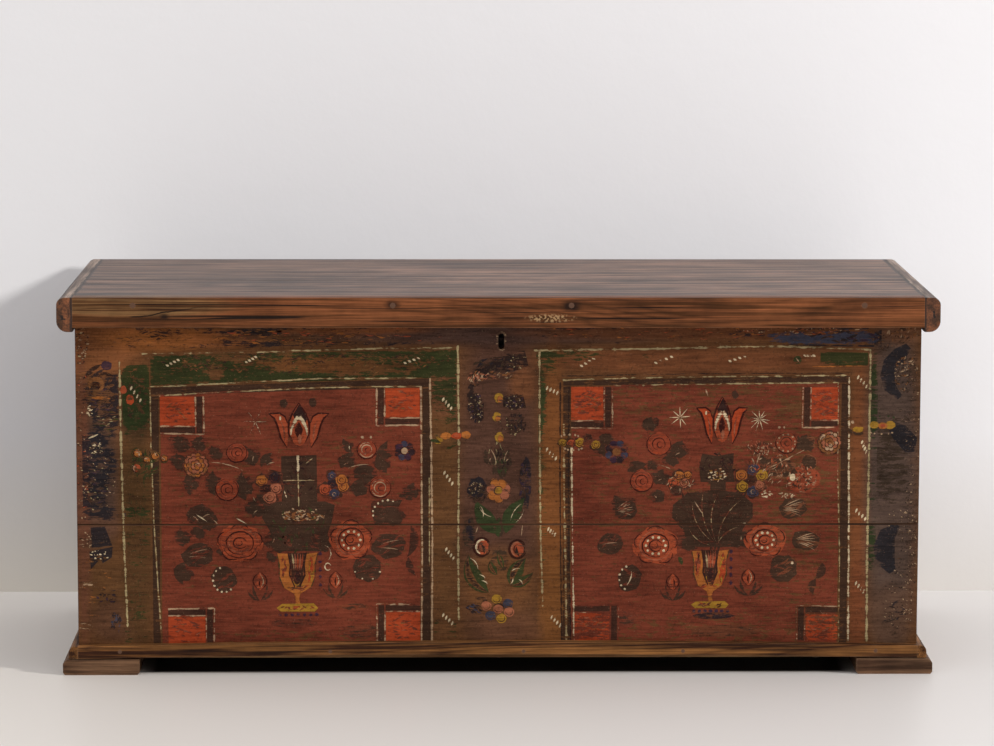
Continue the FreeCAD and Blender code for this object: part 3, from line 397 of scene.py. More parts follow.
def wrought_iron(settings):
    """Wrought iron, hammered and blackened: dark, uneven, with dull rust in its hollows."""
    material, tree, shader = new_material("wrought_iron")
    place = add(tree, "TexCoord").node.outputs["Object"]
    # Hammer marks are 8 mm across, scale 4 mm.
    marks = add(tree, "TexNoise", place, 125, 3)
    scale = add(tree, "TexNoise", place, 260, 5, 0.7)
    rusty = add(tree, "MapRange", scale, 0.48, 0.6)
    colour = add(tree, "Mix", rusty, rgba(settings.iron), rgba(settings.rust), **BLENDED)
    bare = add(tree, "MapRange", rusty, 0, 1, 0.85, 0.1)
    dull = add(tree, "MapRange", rusty, 0, 1, 0.42, 0.8)
    bump = add(tree, "Bump", 0.5, 0.0008, None, marks)
    feed(shader.inputs, {"Base Color": colour, "Metallic": bare, "Roughness": dull, "Normal": bump})
    return material


def cut_peg(settings):
    """Hardwood pegs cut flush: darker end grain with fine dots."""
    material, tree, shader = new_material("peg_end_grain")
    place = add(tree, "TexCoord").node.outputs["Object"]
    # Pores 1 mm apart.
    pores = add(tree, "TexVoronoi", place, 1000)
    shade = add(tree, "MapRange", pores, 0, 0.6, 0.55, 1.1)
    colour = add(tree, "Mix", 1, rgba(settings.peg), shade, **SHADED)
    feed(shader.inputs, {"Base Color": colour, "Roughness": 0.6})
    return material


def worn_paint_group(settings):
    """Old casein paint: it flakes along the grain, and shows what was painted or sawn under it."""
    tree, given, result = new_group(
        "Worn casein paint", [("Paint", "Color")],
        [("Colour", "Color"), ("Roughness", "Float"), ("Normal", "Vector")])
    place = add(tree, "TexCoord").node.outputs["Object"]
    cover = add(tree, "Attribute", attribute_name="cover").node.outputs["Fac"]
    beneath = add(tree, "Attribute", attribute_name="beneath").node.outputs["Color"]
    scale = 1 / settings.flake

    def stretched(stretch, detail, roughness=0.5):
        coords = add(tree, "VectorMath", place, stretch, operation="MULTIPLY")
        return add(tree, "TexNoise", coords, 1, detail, roughness)

    flakes = stretched((scale, scale, scale * 3), 7, 0.68)
    scratches = stretched((scale * 0.3, scale, scale * 11), 4)
    flaked = add(tree, "MapRange", flakes, 0.3, 0.7, -0.5, 0.5, clamp=False)
    scratched = add(tree, "MapRange", scratches, 0.3, 0.7, -0.2, 0.2, clamp=False)
    left = add(tree, "Math", cover, flaked, operation="ADD")
    left = add(tree, "Math", left, scratched, operation="ADD")
    left = add(tree, "MapRange", left, 0.4, 0.6)
    # Fading in patches of 80 mm, brush streaks 45 mm long and 5 mm high, and the marks of single hairs.
    broad = add(tree, "TexNoise", place, 12, 3)
    streaks = stretched((22, 1, 190), 3)
    hairs = stretched((34, 1, 560), 4, 0.6)
    tone = add(tree, "Math", broad, streaks, operation="ADD")
    tone = add(tree, "Math", tone, hairs, operation="ADD")
    tone = add(tree, "MapRange", tone, 1.1, 1.9, 0.7, 1.8)
    thin = add(tree, "Mix", 0.14, given["Paint"], beneath, **BLENDED)
    paint = add(tree, "Mix", 1, thin, tone, **SHADED)
    under = add(tree, "Mix", 1, beneath, tone, **SHADED)
    # Specks of grime, 4 mm across.
    specks = add(tree, "TexNoise", place, 240, 4, 0.7)
    grime = add(tree, "MapRange", specks, 0.52, 0.72, 0, 0.55)
    colour = add(tree, "Mix", left, under, paint, **BLENDED)
    colour = add(tree, "Mix", grime, colour, rgba(linear("#21150f")), **BLENDED)
    # Pinpoint chips, 2 mm across, show the pale priming.
    pinpoints = add(tree, "TexNoise", place, 420, 2, 0.6)
    dust = add(tree, "MapRange", pinpoints, 0.64, 0.74, 0, 0.5)
    colour = add(tree, "Mix", dust, colour, rgba(linear("#8a6b52")), **BLENDED)
    dull = add(tree, "MapRange", left, 0, 1, 0.62, 0.5)
    relief = add(tree, "Math", left, streaks, operation="ADD")
    bump = add(tree, "Bump", 0.3, 0.0004, None, relief)
    feed(result, {"Colour": colour, "Roughness": dull, "Normal": bump})
    return tree


def casein_paint(name, group, colour):
    """Casein paint brushed on and waxed: flat, a little streaky, with a low sheen."""
    material, tree, shader = new_material(f"casein_{name}")
    worn = add(tree, "Group", node_tree=group).node
    feed(worn.inputs, {"Paint": rgba(colour)})
    made = worn.outputs
    feed(shader.inputs, {"Base Color": made["Colour"], "Roughness": made["Roughness"], "Normal": made["Normal"],
                         "IOR": 1.46, "Specular IOR Level": 0.06})
    return material


# What lies under the painting: patches of worn ground as (x, z, half width, half height, colour, strength).
GROUND = "#54361f"
GROUND_PATCHES = ((0, 330, 68, 320, "#472f25", 0.9), (0, 575, 330, 22, "#42302a", 0.85),
                  (40, 485, 22, 30, "#684027", 0.9), (0, 150, 62, 60, "#654022", 0.7),
                  (20, 70, 60, 26, "#583825", 0.7), (-660, 560, 70, 62, "#704427", 0.95),
                  (-560, 562, 100, 20, "#834f28", 0.95), (-455, 562, 60, 16, "#774726", 0.8),
                  (-240, 578, 120, 9, "#704226", 0.85), (-420, 570, 40, 10, "#33261f", 0.7),
                  (-640, 440, 26, 60, "#5c3c27", 0.8), (-670, 320, 40, 120, "#3f3029", 0.8),
                  (-655, 250, 26, 22, "#54392a", 0.8), (-660, 150, 50, 62, "#50351e", 0.8),
                  (-640, 90, 40, 36, "#4b3122", 0.8), (-690, 300, 12, 260, "#5a3626", 0.8),
                  (-600, 300, 26, 110, "#46301a", 0.85), (-600, 440, 26, 56, "#3c2a19", 0.85),
                  (-600, 150, 26, 110, "#48301b", 0.85), (-92, 300, 24, 200, "#54371f", 0.8),
                  (-92, 470, 22, 40, "#5e3a26", 0.7), (-300, 520, 100, 16, "#5b381d", 0.95),
                  (-180, 512, 60, 16, "#50341c", 0.8), (330, 525, 270, 22, "#5e3720", 0.9),
                  (330, 572, 300, 12, "#57341f", 0.85), (90, 300, 22, 230, "#693f20", 0.95),
                  (90, 120, 22, 80, "#6a4221", 0.9), (600, 300, 16, 230, "#653b22", 0.95),
                  (600, 110, 16, 80, "#693a22", 0.8), (655, 330, 44, 300, "#483931", 0.95),
                  (655, 100, 40, 50, "#4f382a", 0.7), (668, 580, 34, 26, "#6a4630", 0.8))
FIELDS = ((-562, -128, 46, 476), (120, 565, 46, 486))
FIELD_PATCHES = ((-520, 250, 30, 190, "#5b2c1f", 0.8), (-420, 440, 110, 40, "#562b1f", 0.7),
                 (-330, 300, 130, 90, "#4d291d", 0.6), (-240, 110, 80, 50, "#64321f", 0.8),
                 (-180, 60, 60, 30, "#4f2a1c", 0.7), (-350, 70, 110, 26, "#57291c", 0.7),
                 (170, 330, 50, 120, "#5c3122", 0.8), (260, 440, 100, 40, "#522c1d", 0.8),
                 (360, 300, 130, 90, "#4f2e20", 0.55), (500, 320, 60, 120, "#68402a", 0.8),
                 (520, 180, 50, 90, "#623a25", 0.8), (400, 90, 150, 40, "#583320", 0.8),
                 (470, 440, 50, 30, "#683a26", 0.7))


def nearness(x, z, patch):
    """1 well inside a soft ellipse and 0 outside it."""
    away = hypot((x - patch[0]) / patch[2], (z - patch[1]) / patch[3])
    return min(1.0, max(0.0, (1.25 - away) / 0.5))


def washed(x, z, colour, patches):
    """A colour with soft patches of others laid over it."""
    mixed = linear(colour)
    for patch in patches:
        share = nearness(x, z, patch) * patch[5]
        if share > 0:
            other = linear(patch[4])
            mixed = [a + (b - a) * share for a, b in zip(mixed, other)]
    return mixed


def in_a_field(x, z):
    return any(left < x < right and low < z < high for left, right, low, high in FIELDS)


def ground_colour(x, z):
    return washed(x, z, GROUND, GROUND_PATCHES)


def beneath_colour(x, z):
    """What shows where paint is worn off: the red of a field, or the ground."""
    if in_a_field(x, z):
        return washed(x, z, "#5f2d1f", FIELD_PATCHES)
    return ground_colour(x, z)


def around(x, z, rx, rz, turn):
    """A place on an oval around a middle, turned so far from its right end."""
    return x + rx * cos(turn), z + rz * sin(turn)


def measured(x, z, half, tall):
    """Places on a motif in half widths and heights: for one place, and for a row of them on either side."""
    def at(across, up):
        return x + across * half, z + up * tall

    def through(side, *places):
        return [at(side * across, up) for across, up in places]

    return at, through


class Film:
    """Paint on the front, as thin closed plates. Places are millimetres on the front."""

    # From layer to layer, and from plate to plate in a layer, which starts again after so many.
    LAYER = 0.09
    STEP = 0.001
    LEVELS = 83
    # The worn rim of a plate, and how much less paint is left there.
    WORN_RIM = 1.6
    RAGGED = 0.34
    # Where the film ends: inside the edges of the front, and on either side of its joint.
    EDGE = 0.3
    JOINT_GAP = 1.5

    def __init__(self, name, settings, beneath, seed):
        self.name = name
        self.thick = settings.coat / MM
        self.line = settings.line / MM
        self.beneath = beneath
        self.chance = random.Random(seed)
        self.corners = []
        self.covers = []
        self.faces = []
        self.paints = []
        self.used = []
        self.count = seed

    def slot_of(self, paint):
        if paint not in self.used:
            self.used.append(paint)
        return self.used.index(paint)

    def next_level(self, layer):
        """Each plate lies a hair above the one before it in its layer."""
        self.count += 1
        return self.LAYER * layer + self.STEP * (self.count % self.LEVELS)

    def corner(self, x, z, level, cover):
        """A point of the film, kept on the boards."""
        edge = HALF - 2 * self.EDGE
        self.corners.append((min(edge, max(-edge, x)), min(RIM - self.EDGE, max(FOOT + self.EDGE, z)), level))
        self.covers.append(cover)
        return len(self.corners) - 1

    def face(self, corners, slot):
        self.faces.append(corners)
        self.paints.append(slot)

    def plate(self, outline, paint, layer, cover=0.9, ragged=RAGGED):
        """A flat plate with this outline. Its rim is worn before its middle."""
        level = self.next_level(layer)
        top = level + self.thick
        slot = self.slot_of(paint)
        middle_x = sum(x for x, z in outline) / len(outline)
        middle_z = sum(z for x, z in outline) / len(outline)
        rows = []
        for x, z in outline:
            pull = min(0.5, self.WORN_RIM / max(hypot(x - middle_x, z - middle_z), 0.1))
            rows.append([self.corner(x + (middle_x - x) * pull, z + (middle_z - z) * pull, top, cover),
                         self.corner(x, z, top, cover - ragged), self.corner(x, z, level, cover - ragged)])
        self.face([row[0] for row in rows], slot)
        self.face([row[2] for row in rows][::-1], slot)
        self.skin([*rows, rows[0]], slot, 2)

    def skin(self, rows, slot, sides):
        """Join each row of corners to the next, with so many faces from row to row."""
        for a, b in zip(rows, rows[1:]):
            for k in range(sides):
                after = (k + 1) % len(a)
                self.face([a[k], a[after], b[after], b[k]], slot)

    def ribbon(self, line, widths, paint, layer, cover=0.9, ragged=RAGGED):
        """A brush stroke along a line, with its width at each point. Cover is one value, or one for each."""
        level = self.next_level(layer)
        top = level + self.thick
        slot = self.slot_of(paint)
        covers = cover if isinstance(cover, list) else [cover] * len(line)
        rows = []
        for i, (x, z) in enumerate(line):
            before, after = line[max(i - 1, 0)], line[min(i + 1, len(line) - 1)]
            run = Vector((after[0] - before[0], after[1] - before[1])).normalized()
            half = max(widths[i], 0.25) / 2
            left, right = (x - run.y * half, z + run.x * half), (x + run.y * half, z - run.x * half)
            rim = covers[i] - ragged
            rows.append([self.corner(*left, top, rim), self.corner(x, z, top, covers[i]),
                         self.corner(*right, top, rim), self.corner(*right, level, rim),
                         self.corner(*left, level, rim)])
        self.skin(rows, slot, 5)
        self.face(rows[0][::-1], slot)
        self.face(rows[-1], slot)

    def sheet(self, left, right, low, high, paint, layer, cover, step=9, ragged=0.0):
        """A broad coat between two sides. low and high are its edges, or their left and right ends."""
        low, high = (side if isinstance(side, tuple) else (side, side) for side in (low, high))
        slot = self.slot_of(paint)
        level = self.next_level(layer)
        for bottom, top in self.split(low, high):
            across = max(1, round((right - left) / step))
            up = max(1, round((max(top) - min(bottom)) / step))
            grid = {}
            for i in range(across + 1):
                s = i / across
                x = left + (right - left) * s
                z0 = bottom[0] + (bottom[1] - bottom[0]) * s
                z1 = top[0] + (top[1] - top[0]) * s
                for j in range(up + 1):
                    z = z0 + (z1 - z0) * j / up
                    left_over = cover(x, z) if callable(cover) else cover
                    if i in (0, across) or j in (0, up):
                        left_over -= ragged
                    grid[i, j, 1] = self.corner(x, z, level + self.thick, left_over)
                    grid[i, j, 0] = self.corner(x, z, level, left_over)
            self.close_grid(grid, across, up, slot)

    def band(self, inside, outside, paint, layer, cover):
        """A closed ring of paint between two outlines."""
        level = self.next_level(layer)
        top = level + self.thick
        slot = self.slot_of(paint)
        rows = [[self.corner(*a, top, cover), self.corner(*b, top, cover), self.corner(*b, level, cover),
                 self.corner(*a, level, cover)] for a, b in zip(inside, outside)]
        self.skin([*rows, rows[0]], slot, 4)

    def split(self, low, high):
        """Part a coat at the joint between the two planks."""
        gap = self.JOINT_GAP
        if max(low) >= JOINT or min(high) <= JOINT:
            return [(low, high)]
        return [(low, (JOINT - gap, JOINT - gap)), ((JOINT + gap, JOINT + gap), high)]

    def close_grid(self, grid, across, up, slot):
        """Faces over both sides of a sheet and round its edges."""
        def quad(*keys):
            self.face([grid[key] for key in keys], slot)

        for i in range(across):
            for j in range(up):
                quad((i, j, 1), (i + 1, j, 1), (i + 1, j + 1, 1), (i, j + 1, 1))
                quad((i, j, 0), (i, j + 1, 0), (i + 1, j + 1, 0), (i + 1, j, 0))
        for i in range(across):
            quad((i, 0, 0), (i + 1, 0, 0), (i + 1, 0, 1), (i, 0, 1))
            quad((i, up, 1), (i + 1, up, 1), (i + 1, up, 0), (i, up, 0))
        for j in range(up):
            quad((0, j, 1), (0, j + 1, 1), (0, j + 1, 0), (0, j, 0))
            quad((across, j, 0), (across, j + 1, 0), (across, j + 1, 1), (across, j, 1))

    def vary(self, low, high):
        return self.chance.uniform(low, high)

    # Brush marks

    def blob(self, x, z, rx, rz, paint, layer, cover=0.9, tilt=0, wobble=0.07, sides=16):
        """A dab of paint, round or oval, as a hand leaves it."""
        turn = radians(tilt)
        outline = []
        for i in range(sides):
            a = 2 * pi * i / sides
            swell = 1 + self.vary(-wobble, wobble)
            dx, dz = rx * swell * cos(a), rz * swell * sin(a)
            outline.append((x + dx * cos(turn) - dz * sin(turn), z + dx * sin(turn) + dz * cos(turn)))
        self.plate(outline, paint, layer, cover)

    def brush(self, start, end, width, paint, layer, bend=0, belly=0.5, cover=0.9, steps=9):
        """A pointed stroke: a petal, a leaf or a tick. belly is where it is widest."""
        run = Vector((end[0] - start[0], end[1] - start[1]))
        side = Vector((-run.y, run.x)) * bend
        power = log(0.5) / log(belly)
        line = []
        widths = []
        for i in range(steps + 1):
            t = i / steps
            place = Vector(start) + run * t + side * (4 * t * (1 - t))
            line.append((place.x, place.y))
            widths.append(width * sin(pi * t ** power) * (1 + self.vary(-0.06, 0.06)))
        self.ribbon(line, widths, paint, layer, cover)

    def arc(self, x, z, rx, rz, start, end, width, paint, layer, cover=0.85, steps=14):
        """Part of an outline, thin at both ends."""
        line = []
        widths = []
        for i in range(steps + 1):
            t = i / steps
            a = radians(start + (end - start) * t)
            sway = 1 + self.vary(-0.025, 0.025)
            line.append(around(x, z, rx * sway, rz * sway, a))
            widths.append(width * (0.35 + 0.65 * sin(pi * t)))
        self.ribbon(line, widths, paint, layer, cover)

    def path(self, points, width, paint, layer, cover=0.7):
        """A line that follows points, drawn by hand with a brush that skips."""
        sway = 0.35
        line = []
        widths = []
        covers = []
        for (x0, z0), (x1, z1) in zip(points, points[1:]):
            steps = max(2, round(hypot(x1 - x0, z1 - z0) / 5.5))
            for i in range(steps):
                t = i / steps
                line.append((x0 + (x1 - x0) * t + self.vary(-sway, sway),
                             z0 + (z1 - z0) * t + self.vary(-sway, sway)))
                widths.append(width * self.vary(0.6, 1.25))
                covers.append(cover + self.vary(-0.16, 0.3))
        line.append(points[-1])
        widths.append(width * 0.6)
        covers.append(cover)
        self.ribbon(line, widths, paint, layer, covers, 0.36)

    def dots(self, x, z, rx, rz, start, end, count, size, paint, layer, cover=1.0):
        """A row of dots around a place."""
        for i in range(count):
            a = radians(start + (end - start) * i / max(count - 1, 1))
            self.blob(*around(x, z, rx, rz, a), size * self.vary(0.75, 1.2), size, paint, layer, cover, sides=7,
                      wobble=0.15)

    def flecks(self, x, z, rx, rz, count, size, paints, layer, cover=0.9):
        """Chips and splashes, scattered over a patch."""
        for _ in range(count):
            reach = sqrt(self.chance.random())
            a = self.vary(0, 2 * pi)
            big = size * self.vary(0.3, 0.85)
            self.blob(*around(x, z, rx * reach, rz * reach, a), big * self.vary(0.7, 1.6), big * 0.7,
                      self.chance.choice(paints.split()), layer, cover, self.vary(-50, 50), 0.35, 6)

    def spray(self, x, z, rx, rz, count, length, width, paints, layer, cover=0.6, lean=90, spread=50):
        """Many loose strokes that fill a patch, as leaves are dabbed on."""
        for _ in range(count):
            reach = sqrt(self.chance.random())
            a = self.vary(0, 2 * pi)
            place = Vector(around(x, z, rx * reach, rz * reach, a))
            turn = radians(lean + self.vary(-spread, spread))
            run = Vector((cos(turn), sin(turn))) * length * self.vary(0.3, 0.6)
            self.brush(tuple(place - run), tuple(place + run), width * self.vary(0.6, 1.3),
                       self.chance.choice(paints.split()), layer, self.vary(-0.15, 0.15), 0.5, cover, steps=5)

    def make(self, kit):
        """Make the film an object on the case, parted at the joint of the planks."""
        shape = bmesh.new()
        cover = shape.verts.layers.float.new("cover")
        beneath = shape.verts.layers.float_color.new("beneath")
        corners = [shape.verts.new((x * MM, FRONT_FACE - level * MM, z * MM)) for x, z, level in self.corners]
        for corner, (x, z, level), left in zip(corners, self.corners, self.covers):
            corner[cover] = left
            corner[beneath] = rgba(self.beneath(x, z))
        for indices, slot in zip(self.faces, self.paints):
            made = shape.faces.new([corners[i] for i in indices])
            made.material_index = slot
        self.part_at_joint(shape)
        bmesh.ops.recalc_face_normals(shape, faces=shape.faces)
        mesh = bpy.data.meshes.new(self.name)
        shape.to_mesh(mesh)
        shape.free()
        for paint in self.used:
            mesh.materials.append(kit[paint])
        piece = bpy.data.objects.new(self.name, mesh)
        bpy.context.collection.objects.link(piece)
        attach(piece, "case")

    def part_at_joint(self, shape):
        """Open the film along the joint, so that the eased edges of the planks show through it."""
        low, high = (JOINT - self.JOINT_GAP) * MM, (JOINT + self.JOINT_GAP) * MM
        for level in (low, high):
            bmesh.ops.bisect_plane(shape, geom=shape.verts[:] + shape.edges[:] + shape.faces[:], dist=1e-6,
                                   plane_co=(0, 0, level), plane_no=(0, 0, 1))
        bridging = [f for f in shape.faces if low < f.calc_center_median().z < high]
        if bridging:
            bmesh.ops.delete(shape, geom=bridging, context="FACES")
            loose = [v for v in shape.verts if not v.link_faces]
            bmesh.ops.delete(shape, geom=loose, context="VERTS")
            bmesh.ops.holes_fill(shape, edges=[e for e in shape.edges if e.is_boundary])


class Brushwork(Film):
    """The motifs, each drawn round its own place with a few strokes."""

    def lay(self, recipe):
        """Lay marks in their order. Each row names a shape and gives the values of every mark of it."""
        for shape, *marks in recipe:
            for mark in marks:
                getattr(self, shape)(*mark)

    def strokes(self, values, *ends):
        """Strokes that differ only in where they start and end."""
        for start, end in ends:
            self.brush(start, end, *values)

    def blossoms(self, *places):
        """Yellow blossoms, darker on one side."""
        for x, z in places:
            self.blob(x, z, 7.5, 9, "yellow", 4, 0.72)
            self.blob(x + 2, z - 3, 5, 6, "ochre", 4, 0.62)

    def rings(self, x, z, rx, rz, *rings):
        """Arcs around one place, each as (share of the radius, start, end, width, paint, layer, cover)."""
        for share, *stroke in rings:
            self.arc(x, z, rx * share, rz * share, *stroke)

    def rule(self, points, share, paint, cover=0.7):
        """A ruled line, its width a share of the usual one."""
        self.path(points, share * self.line, paint, 2, cover)

    def rubbed_squares(self, strokes, *places):
        """Brush marks and rubbing on the orange squares."""
        for x, z in places:
            self.spray(x, z, 22, 20, strokes, 11, 2.6, "orange bronze russet pink", 4, 0.55, 0, 30)

    def rose(self, x, z, rx, rz, ring="drawn"):
        """A full rose: a lobed rim, broken dark outlines, and a ring around its heart, drawn or of dots."""
        self.blob(x, z, rx * 1.02, rz * 1.02, "rose", 4, 0.84, wobble=0.1)
        for i in range(5):
            a = radians(90 + 72 * i)
            lobe = around(x, z, rx * 0.56, rz * 0.56, a)
            self.blob(*lobe, rx * 0.42, rz * 0.42, "rose", 4, 0.68)
            self.arc(*lobe, rx * 0.46, rz * 0.46, 30 + 72 * i, 150 + 72 * i, 2.5, "maroon", 5, 0.82)
        self.rings(x, z, rx, rz, (0.62, -50, 290, 2.7, "maroon", 5, 0.88))
        if ring == "dots":
            self.rings(x, z, rx, rz, (0.75, 60, 335, 2.2, "pink", 5, 0.8))
            self.dots(x, z, rx * 0.45, rz * 0.45, 0, 324, 10, 2.4, "cream", 6)
        else:
            self.rings(x, z, rx, rz, (0.5, 120, 330, 2, "pink", 5, 0.82), (0.8, 200, 350, 1.8, "maroon", 5, 0.75),
                       (0.88, 20, 200, 3.4, "orange", 5, 0.6), (0.78, 0, 110, 2, "pink", 5, 0.62))
        self.blob(x, z, rx * 0.26, rz * 0.26, "rose", 5, 0.7)
        self.rings(x, z, rx, rz, (0.3, 20, 330, 2.3, "maroon", 6, 0.88))
        self.arc(x - rx * 0.04, z, rx * 0.14, rz * 0.14, 180, 420, 1.8, "maroon", 6, 0.85)

    def small_rose(self, x, z, r, ring="maroon"):
        """A small rose with one ring."""
        self.blob(x, z, r * 1.04, r, "russet", 4, 0.85, wobble=0.1)
        self.arc(x, z, r * 0.8, r * 0.76, 20, 300, 3, "orange", 5, 0.55)
        self.arc(x, z, r, r * 0.96, 100, 415, 2.4, "maroon", 5, 0.85)
        self.arc(x, z, r * 0.52, r * 0.52, -40, 260, 2.1, "maroon" if ring != "cream" else "chip", 5, 0.82)
        self.arc(x + r * 0.1, z - r * 0.05, r * 0.24, r * 0.24, 60, 330, 1.8, "maroon", 6, 0.85)
        if ring == "dots":
            self.dots(x, z, r * 0.8, r * 0.8, 10, 350, 11, 1.6, "chip", 6)
        elif ring == "cream":
            self.arc(x, z, r * 0.78, r * 0.8, 200, 330, 1.9, "chip", 6, 0.75)
            self.arc(x, z, r * 0.74, r * 0.74, 60, 170, 1.7, "chip", 6, 0.7)

    def petalled(self, x, z, r, paints, heart, count=6, dab=0.42, cover=0.75):
        """A flower of round dabs around a heart, in three paints by turns."""
        turn = self.vary(0, 360 / count)
        for i in range(count):
            a = radians(turn + 360 * i / count)
            paint = paints.split()[i % 3]
            place = around(x, z, r * 0.62, r * 0.62, a)
            self.blob(*place, r * dab, r * dab, paint, 4, cover)
            self.arc(*place, r * dab * 0.9, r * dab * 0.9, degrees(a) - 80, degrees(a) + 80, 1.5, "black", 5, 0.6, 6)
        self.blob(x, z, r * 0.3, r * 0.28, heart, 5, 0.85)
        self.arc(x, z, r * 0.36, r * 0.34, 30, 300, 1.8, "black", 6, 0.75)

    def rayed(self, x, z, r, paint, rim, heart):
        """A full flower: a disc of one paint, with the rims of small petals drawn on it in rings."""
        self.blob(x, z, r * 0.98, r * 0.98, paint, 4, 1.05, wobble=0.1, sides=20)
        for count, ring, size in ((14, 0.82, 0.26), (10, 0.52, 0.26), (5, 0.24, 0.22)):
            for i in range(count):
                turn = 360 * i / count + self.vary(-8, 8)
                a = radians(turn)
                place = (x + cos(a) * ring * r, z + sin(a) * ring * r)
                self.blob(*place, r * size * 0.7, r * size * 0.7, self.chance.choice((rim, paint, heart)), 5, 0.95)
                self.arc(*place, r * size, r * size, turn - 80, turn + 80, 1.7, "brown", 6, 0.82, 6)
        self.arc(x, z, r * 0.16, r * 0.16, 0, 320, 1.6, "maroon", 6, 0.8)

    def dab_cluster(self, *dabs):
        """Separate dabs with a ring in each: (x, z, radius, paint)."""
        for x, z, r, paint in dabs:
            self.blob(x, z, r * 1.5, r * 1.4, "brown", 3, 0.6, 0, 0.2)
            self.blob(x, z, r * 1.08, r * 1.04, paint, 4, 0.86, 0, 0.14)
            self.arc(x, z, r * 0.78, r * 0.78, 150, 400, 1.7, "maroon" if paint != "blue" else "black", 5, 0.7, 8)
            self.arc(x, z, r * 0.36, r * 0.36, 0, 300, 1.4, "maroon" if paint != "blue" else "chip", 5, 0.6, 8)

    def leaf(self, start, end, width, marks=0, paint="foliage", cover=0.72, bend=0.08, mark_paint="chip"):
        """A leaf with light ticks across it. Those browned by age have spread, and are broad and soft."""
        old = paint == "foliage"
        self.brush(start, end, width * (1.6 if old else 1), paint, 3, bend, 0.45, cover + 0.22)
        if old:
            x, z = (start[0] + end[0]) / 2, (start[1] + end[1]) / 2
            self.blob(x, z, width * 1.25, width * 0.95, "brown", 2, 0.5, self.vary(-30, 30), 0.25)
            self.blob(x + width * 0.3, z - width * 0.4, width * 0.7, width * 0.6, paint, 3, 0.92, 0, 0.2)
        run = Vector((end[0] - start[0], end[1] - start[1]))
        side = Vector((-run.y, run.x)).normalized()
        for i in range(marks):
            t = 0.22 + 0.6 * i / max(marks - 1, 1)
            root = Vector(start) + run * t
            tip = root + run * 0.2 + side * width * 0.36 * (1 if i % 2 else -1)
            self.brush(tuple(root), tuple(tip), 1.8, mark_paint, 5, 0.1, 0.6, 0.8, steps=4)

    def dark_oval(self, x, z, rx, rz, tilt=0, dots=0, ticks=0):
        """A browned round leaf, edged with dots or ticked with pale strokes."""
        self.blob(x, z, rx * 1.05, rz * 1.05, "foliage", 3, 0.84, tilt, 0.1)
        self.spray(x, z, rx * 0.75, rz * 0.7, 9, rx * 0.9, 3, "black foliage brown", 4, 0.5, tilt + 10, 30)
        if dots:
            self.dots(x, z, rx * 0.92, rz * 0.95, 110, 110 + 22 * dots, dots, 1.9, "cream", 5)
        for i in range(ticks):
            off = (i - (ticks - 1) / 2) * rz * 1.3 / max(ticks, 2)
            rise = sin(radians(tilt + 9 * (i - ticks / 2)))
            self.brush((x - rx * self.vary(0.4, 0.7), z + off * 0.5 - rx * 0.2 * rise),
                       (x + rx * self.vary(0.4, 0.7), z + off + rx * 0.5 * rise), 1.5, "chip", 5, 0.04, 0.5,
                       0.8, steps=5)

    def star(self, x, z, r, rays, cover):
        """Rays of lime white from one point."""
        for i in range(rays):
            a = radians(360 * i / rays + self.vary(-9, 9))
            far = r * self.vary(0.75, 1.1)
            self.brush(around(x, z, 1, 1, a), around(x, z, far, far, a), 1.6, "cream", 4, 0, 0.4, cover, steps=4)

    def tulip(self, x, z, half, tall, petals="rose"):
        """A tulip: two slender petals that curl outward, and a flame between them with a light in it."""
        at, through = measured(x, z, half, tall)
        for side in (-1, 1):
            outer = through(side, (0.4, -0.02), (0.6, 0.2), (0.72, 0.5), (0.82, 0.66), (1, 0.77))
            inner = through(side, (0.36, 0.2), (0.38, 0.55), (0.46, 0.7), (0.64, 0.78), (1, 0.77))
            self.plate(outer + inner[-2::-1], petals, 4, 0.95)
            self.ribbon(outer, [1.4, 3, 3.4, 3.6, 1.6], "maroon", 5, 0.95)
            self.ribbon(inner[1:], [1.2, 2.6, 3.2, 2], "maroon", 5, 0.9)
            self.brush(at(side * 0.5, 0.08), at(side * 0.6, 0.6), 2.8, "pink", 5, 0.08 * side, 0.5, 0.62)
        self.blob(*at(-0.62, 0.66), 1.8, 3.4, "cream", 6, 0.95)
        self.plate(through(1, (0, 1), (-0.2, 0.8), (-0.31, 0.6), (-0.33, 0.3), (-0.16, 0.06), (0, 0), (0.16, 0.06),
                           (0.33, 0.3), (0.31, 0.6), (0.18, 0.82)), "rose", 4, 0.75)
        self.plate(through(1, (0.02, 1), (-0.2, 0.74), (-0.12, 0.62), (0.02, 0.68), (0.2, 0.54), (0.27, 0.64),
                           (0.16, 0.84)), "black", 5, 0.95, 0.1)
        for side in (-1, 1):
            self.ribbon(through(side, (0, 1.02), (0.2, 0.8), (0.33, 0.58), (0.35, 0.32), (0.22, 0.12)),
                        [1.2, 3, 3.4, 2.8, 1.2], "maroon", 5, 0.95)
            self.ribbon(through(side, (0.02, 0.7), (0.14, 0.58), (0.25, 0.42), (0.27, 0.27)), [6.5, 6, 4, 1.6],
                        "cream", 6, 0.86)
        self.brush(at(-0.02, 0.18), at(0, 0.58), half * 0.26, "maroon", 6, 0, 0.5, 0.9)
        self.brush(at(0.02, 0.06), at(0.03, 0.3), half * 0.15, "pink", 6, 0, 0.5, 0.95)

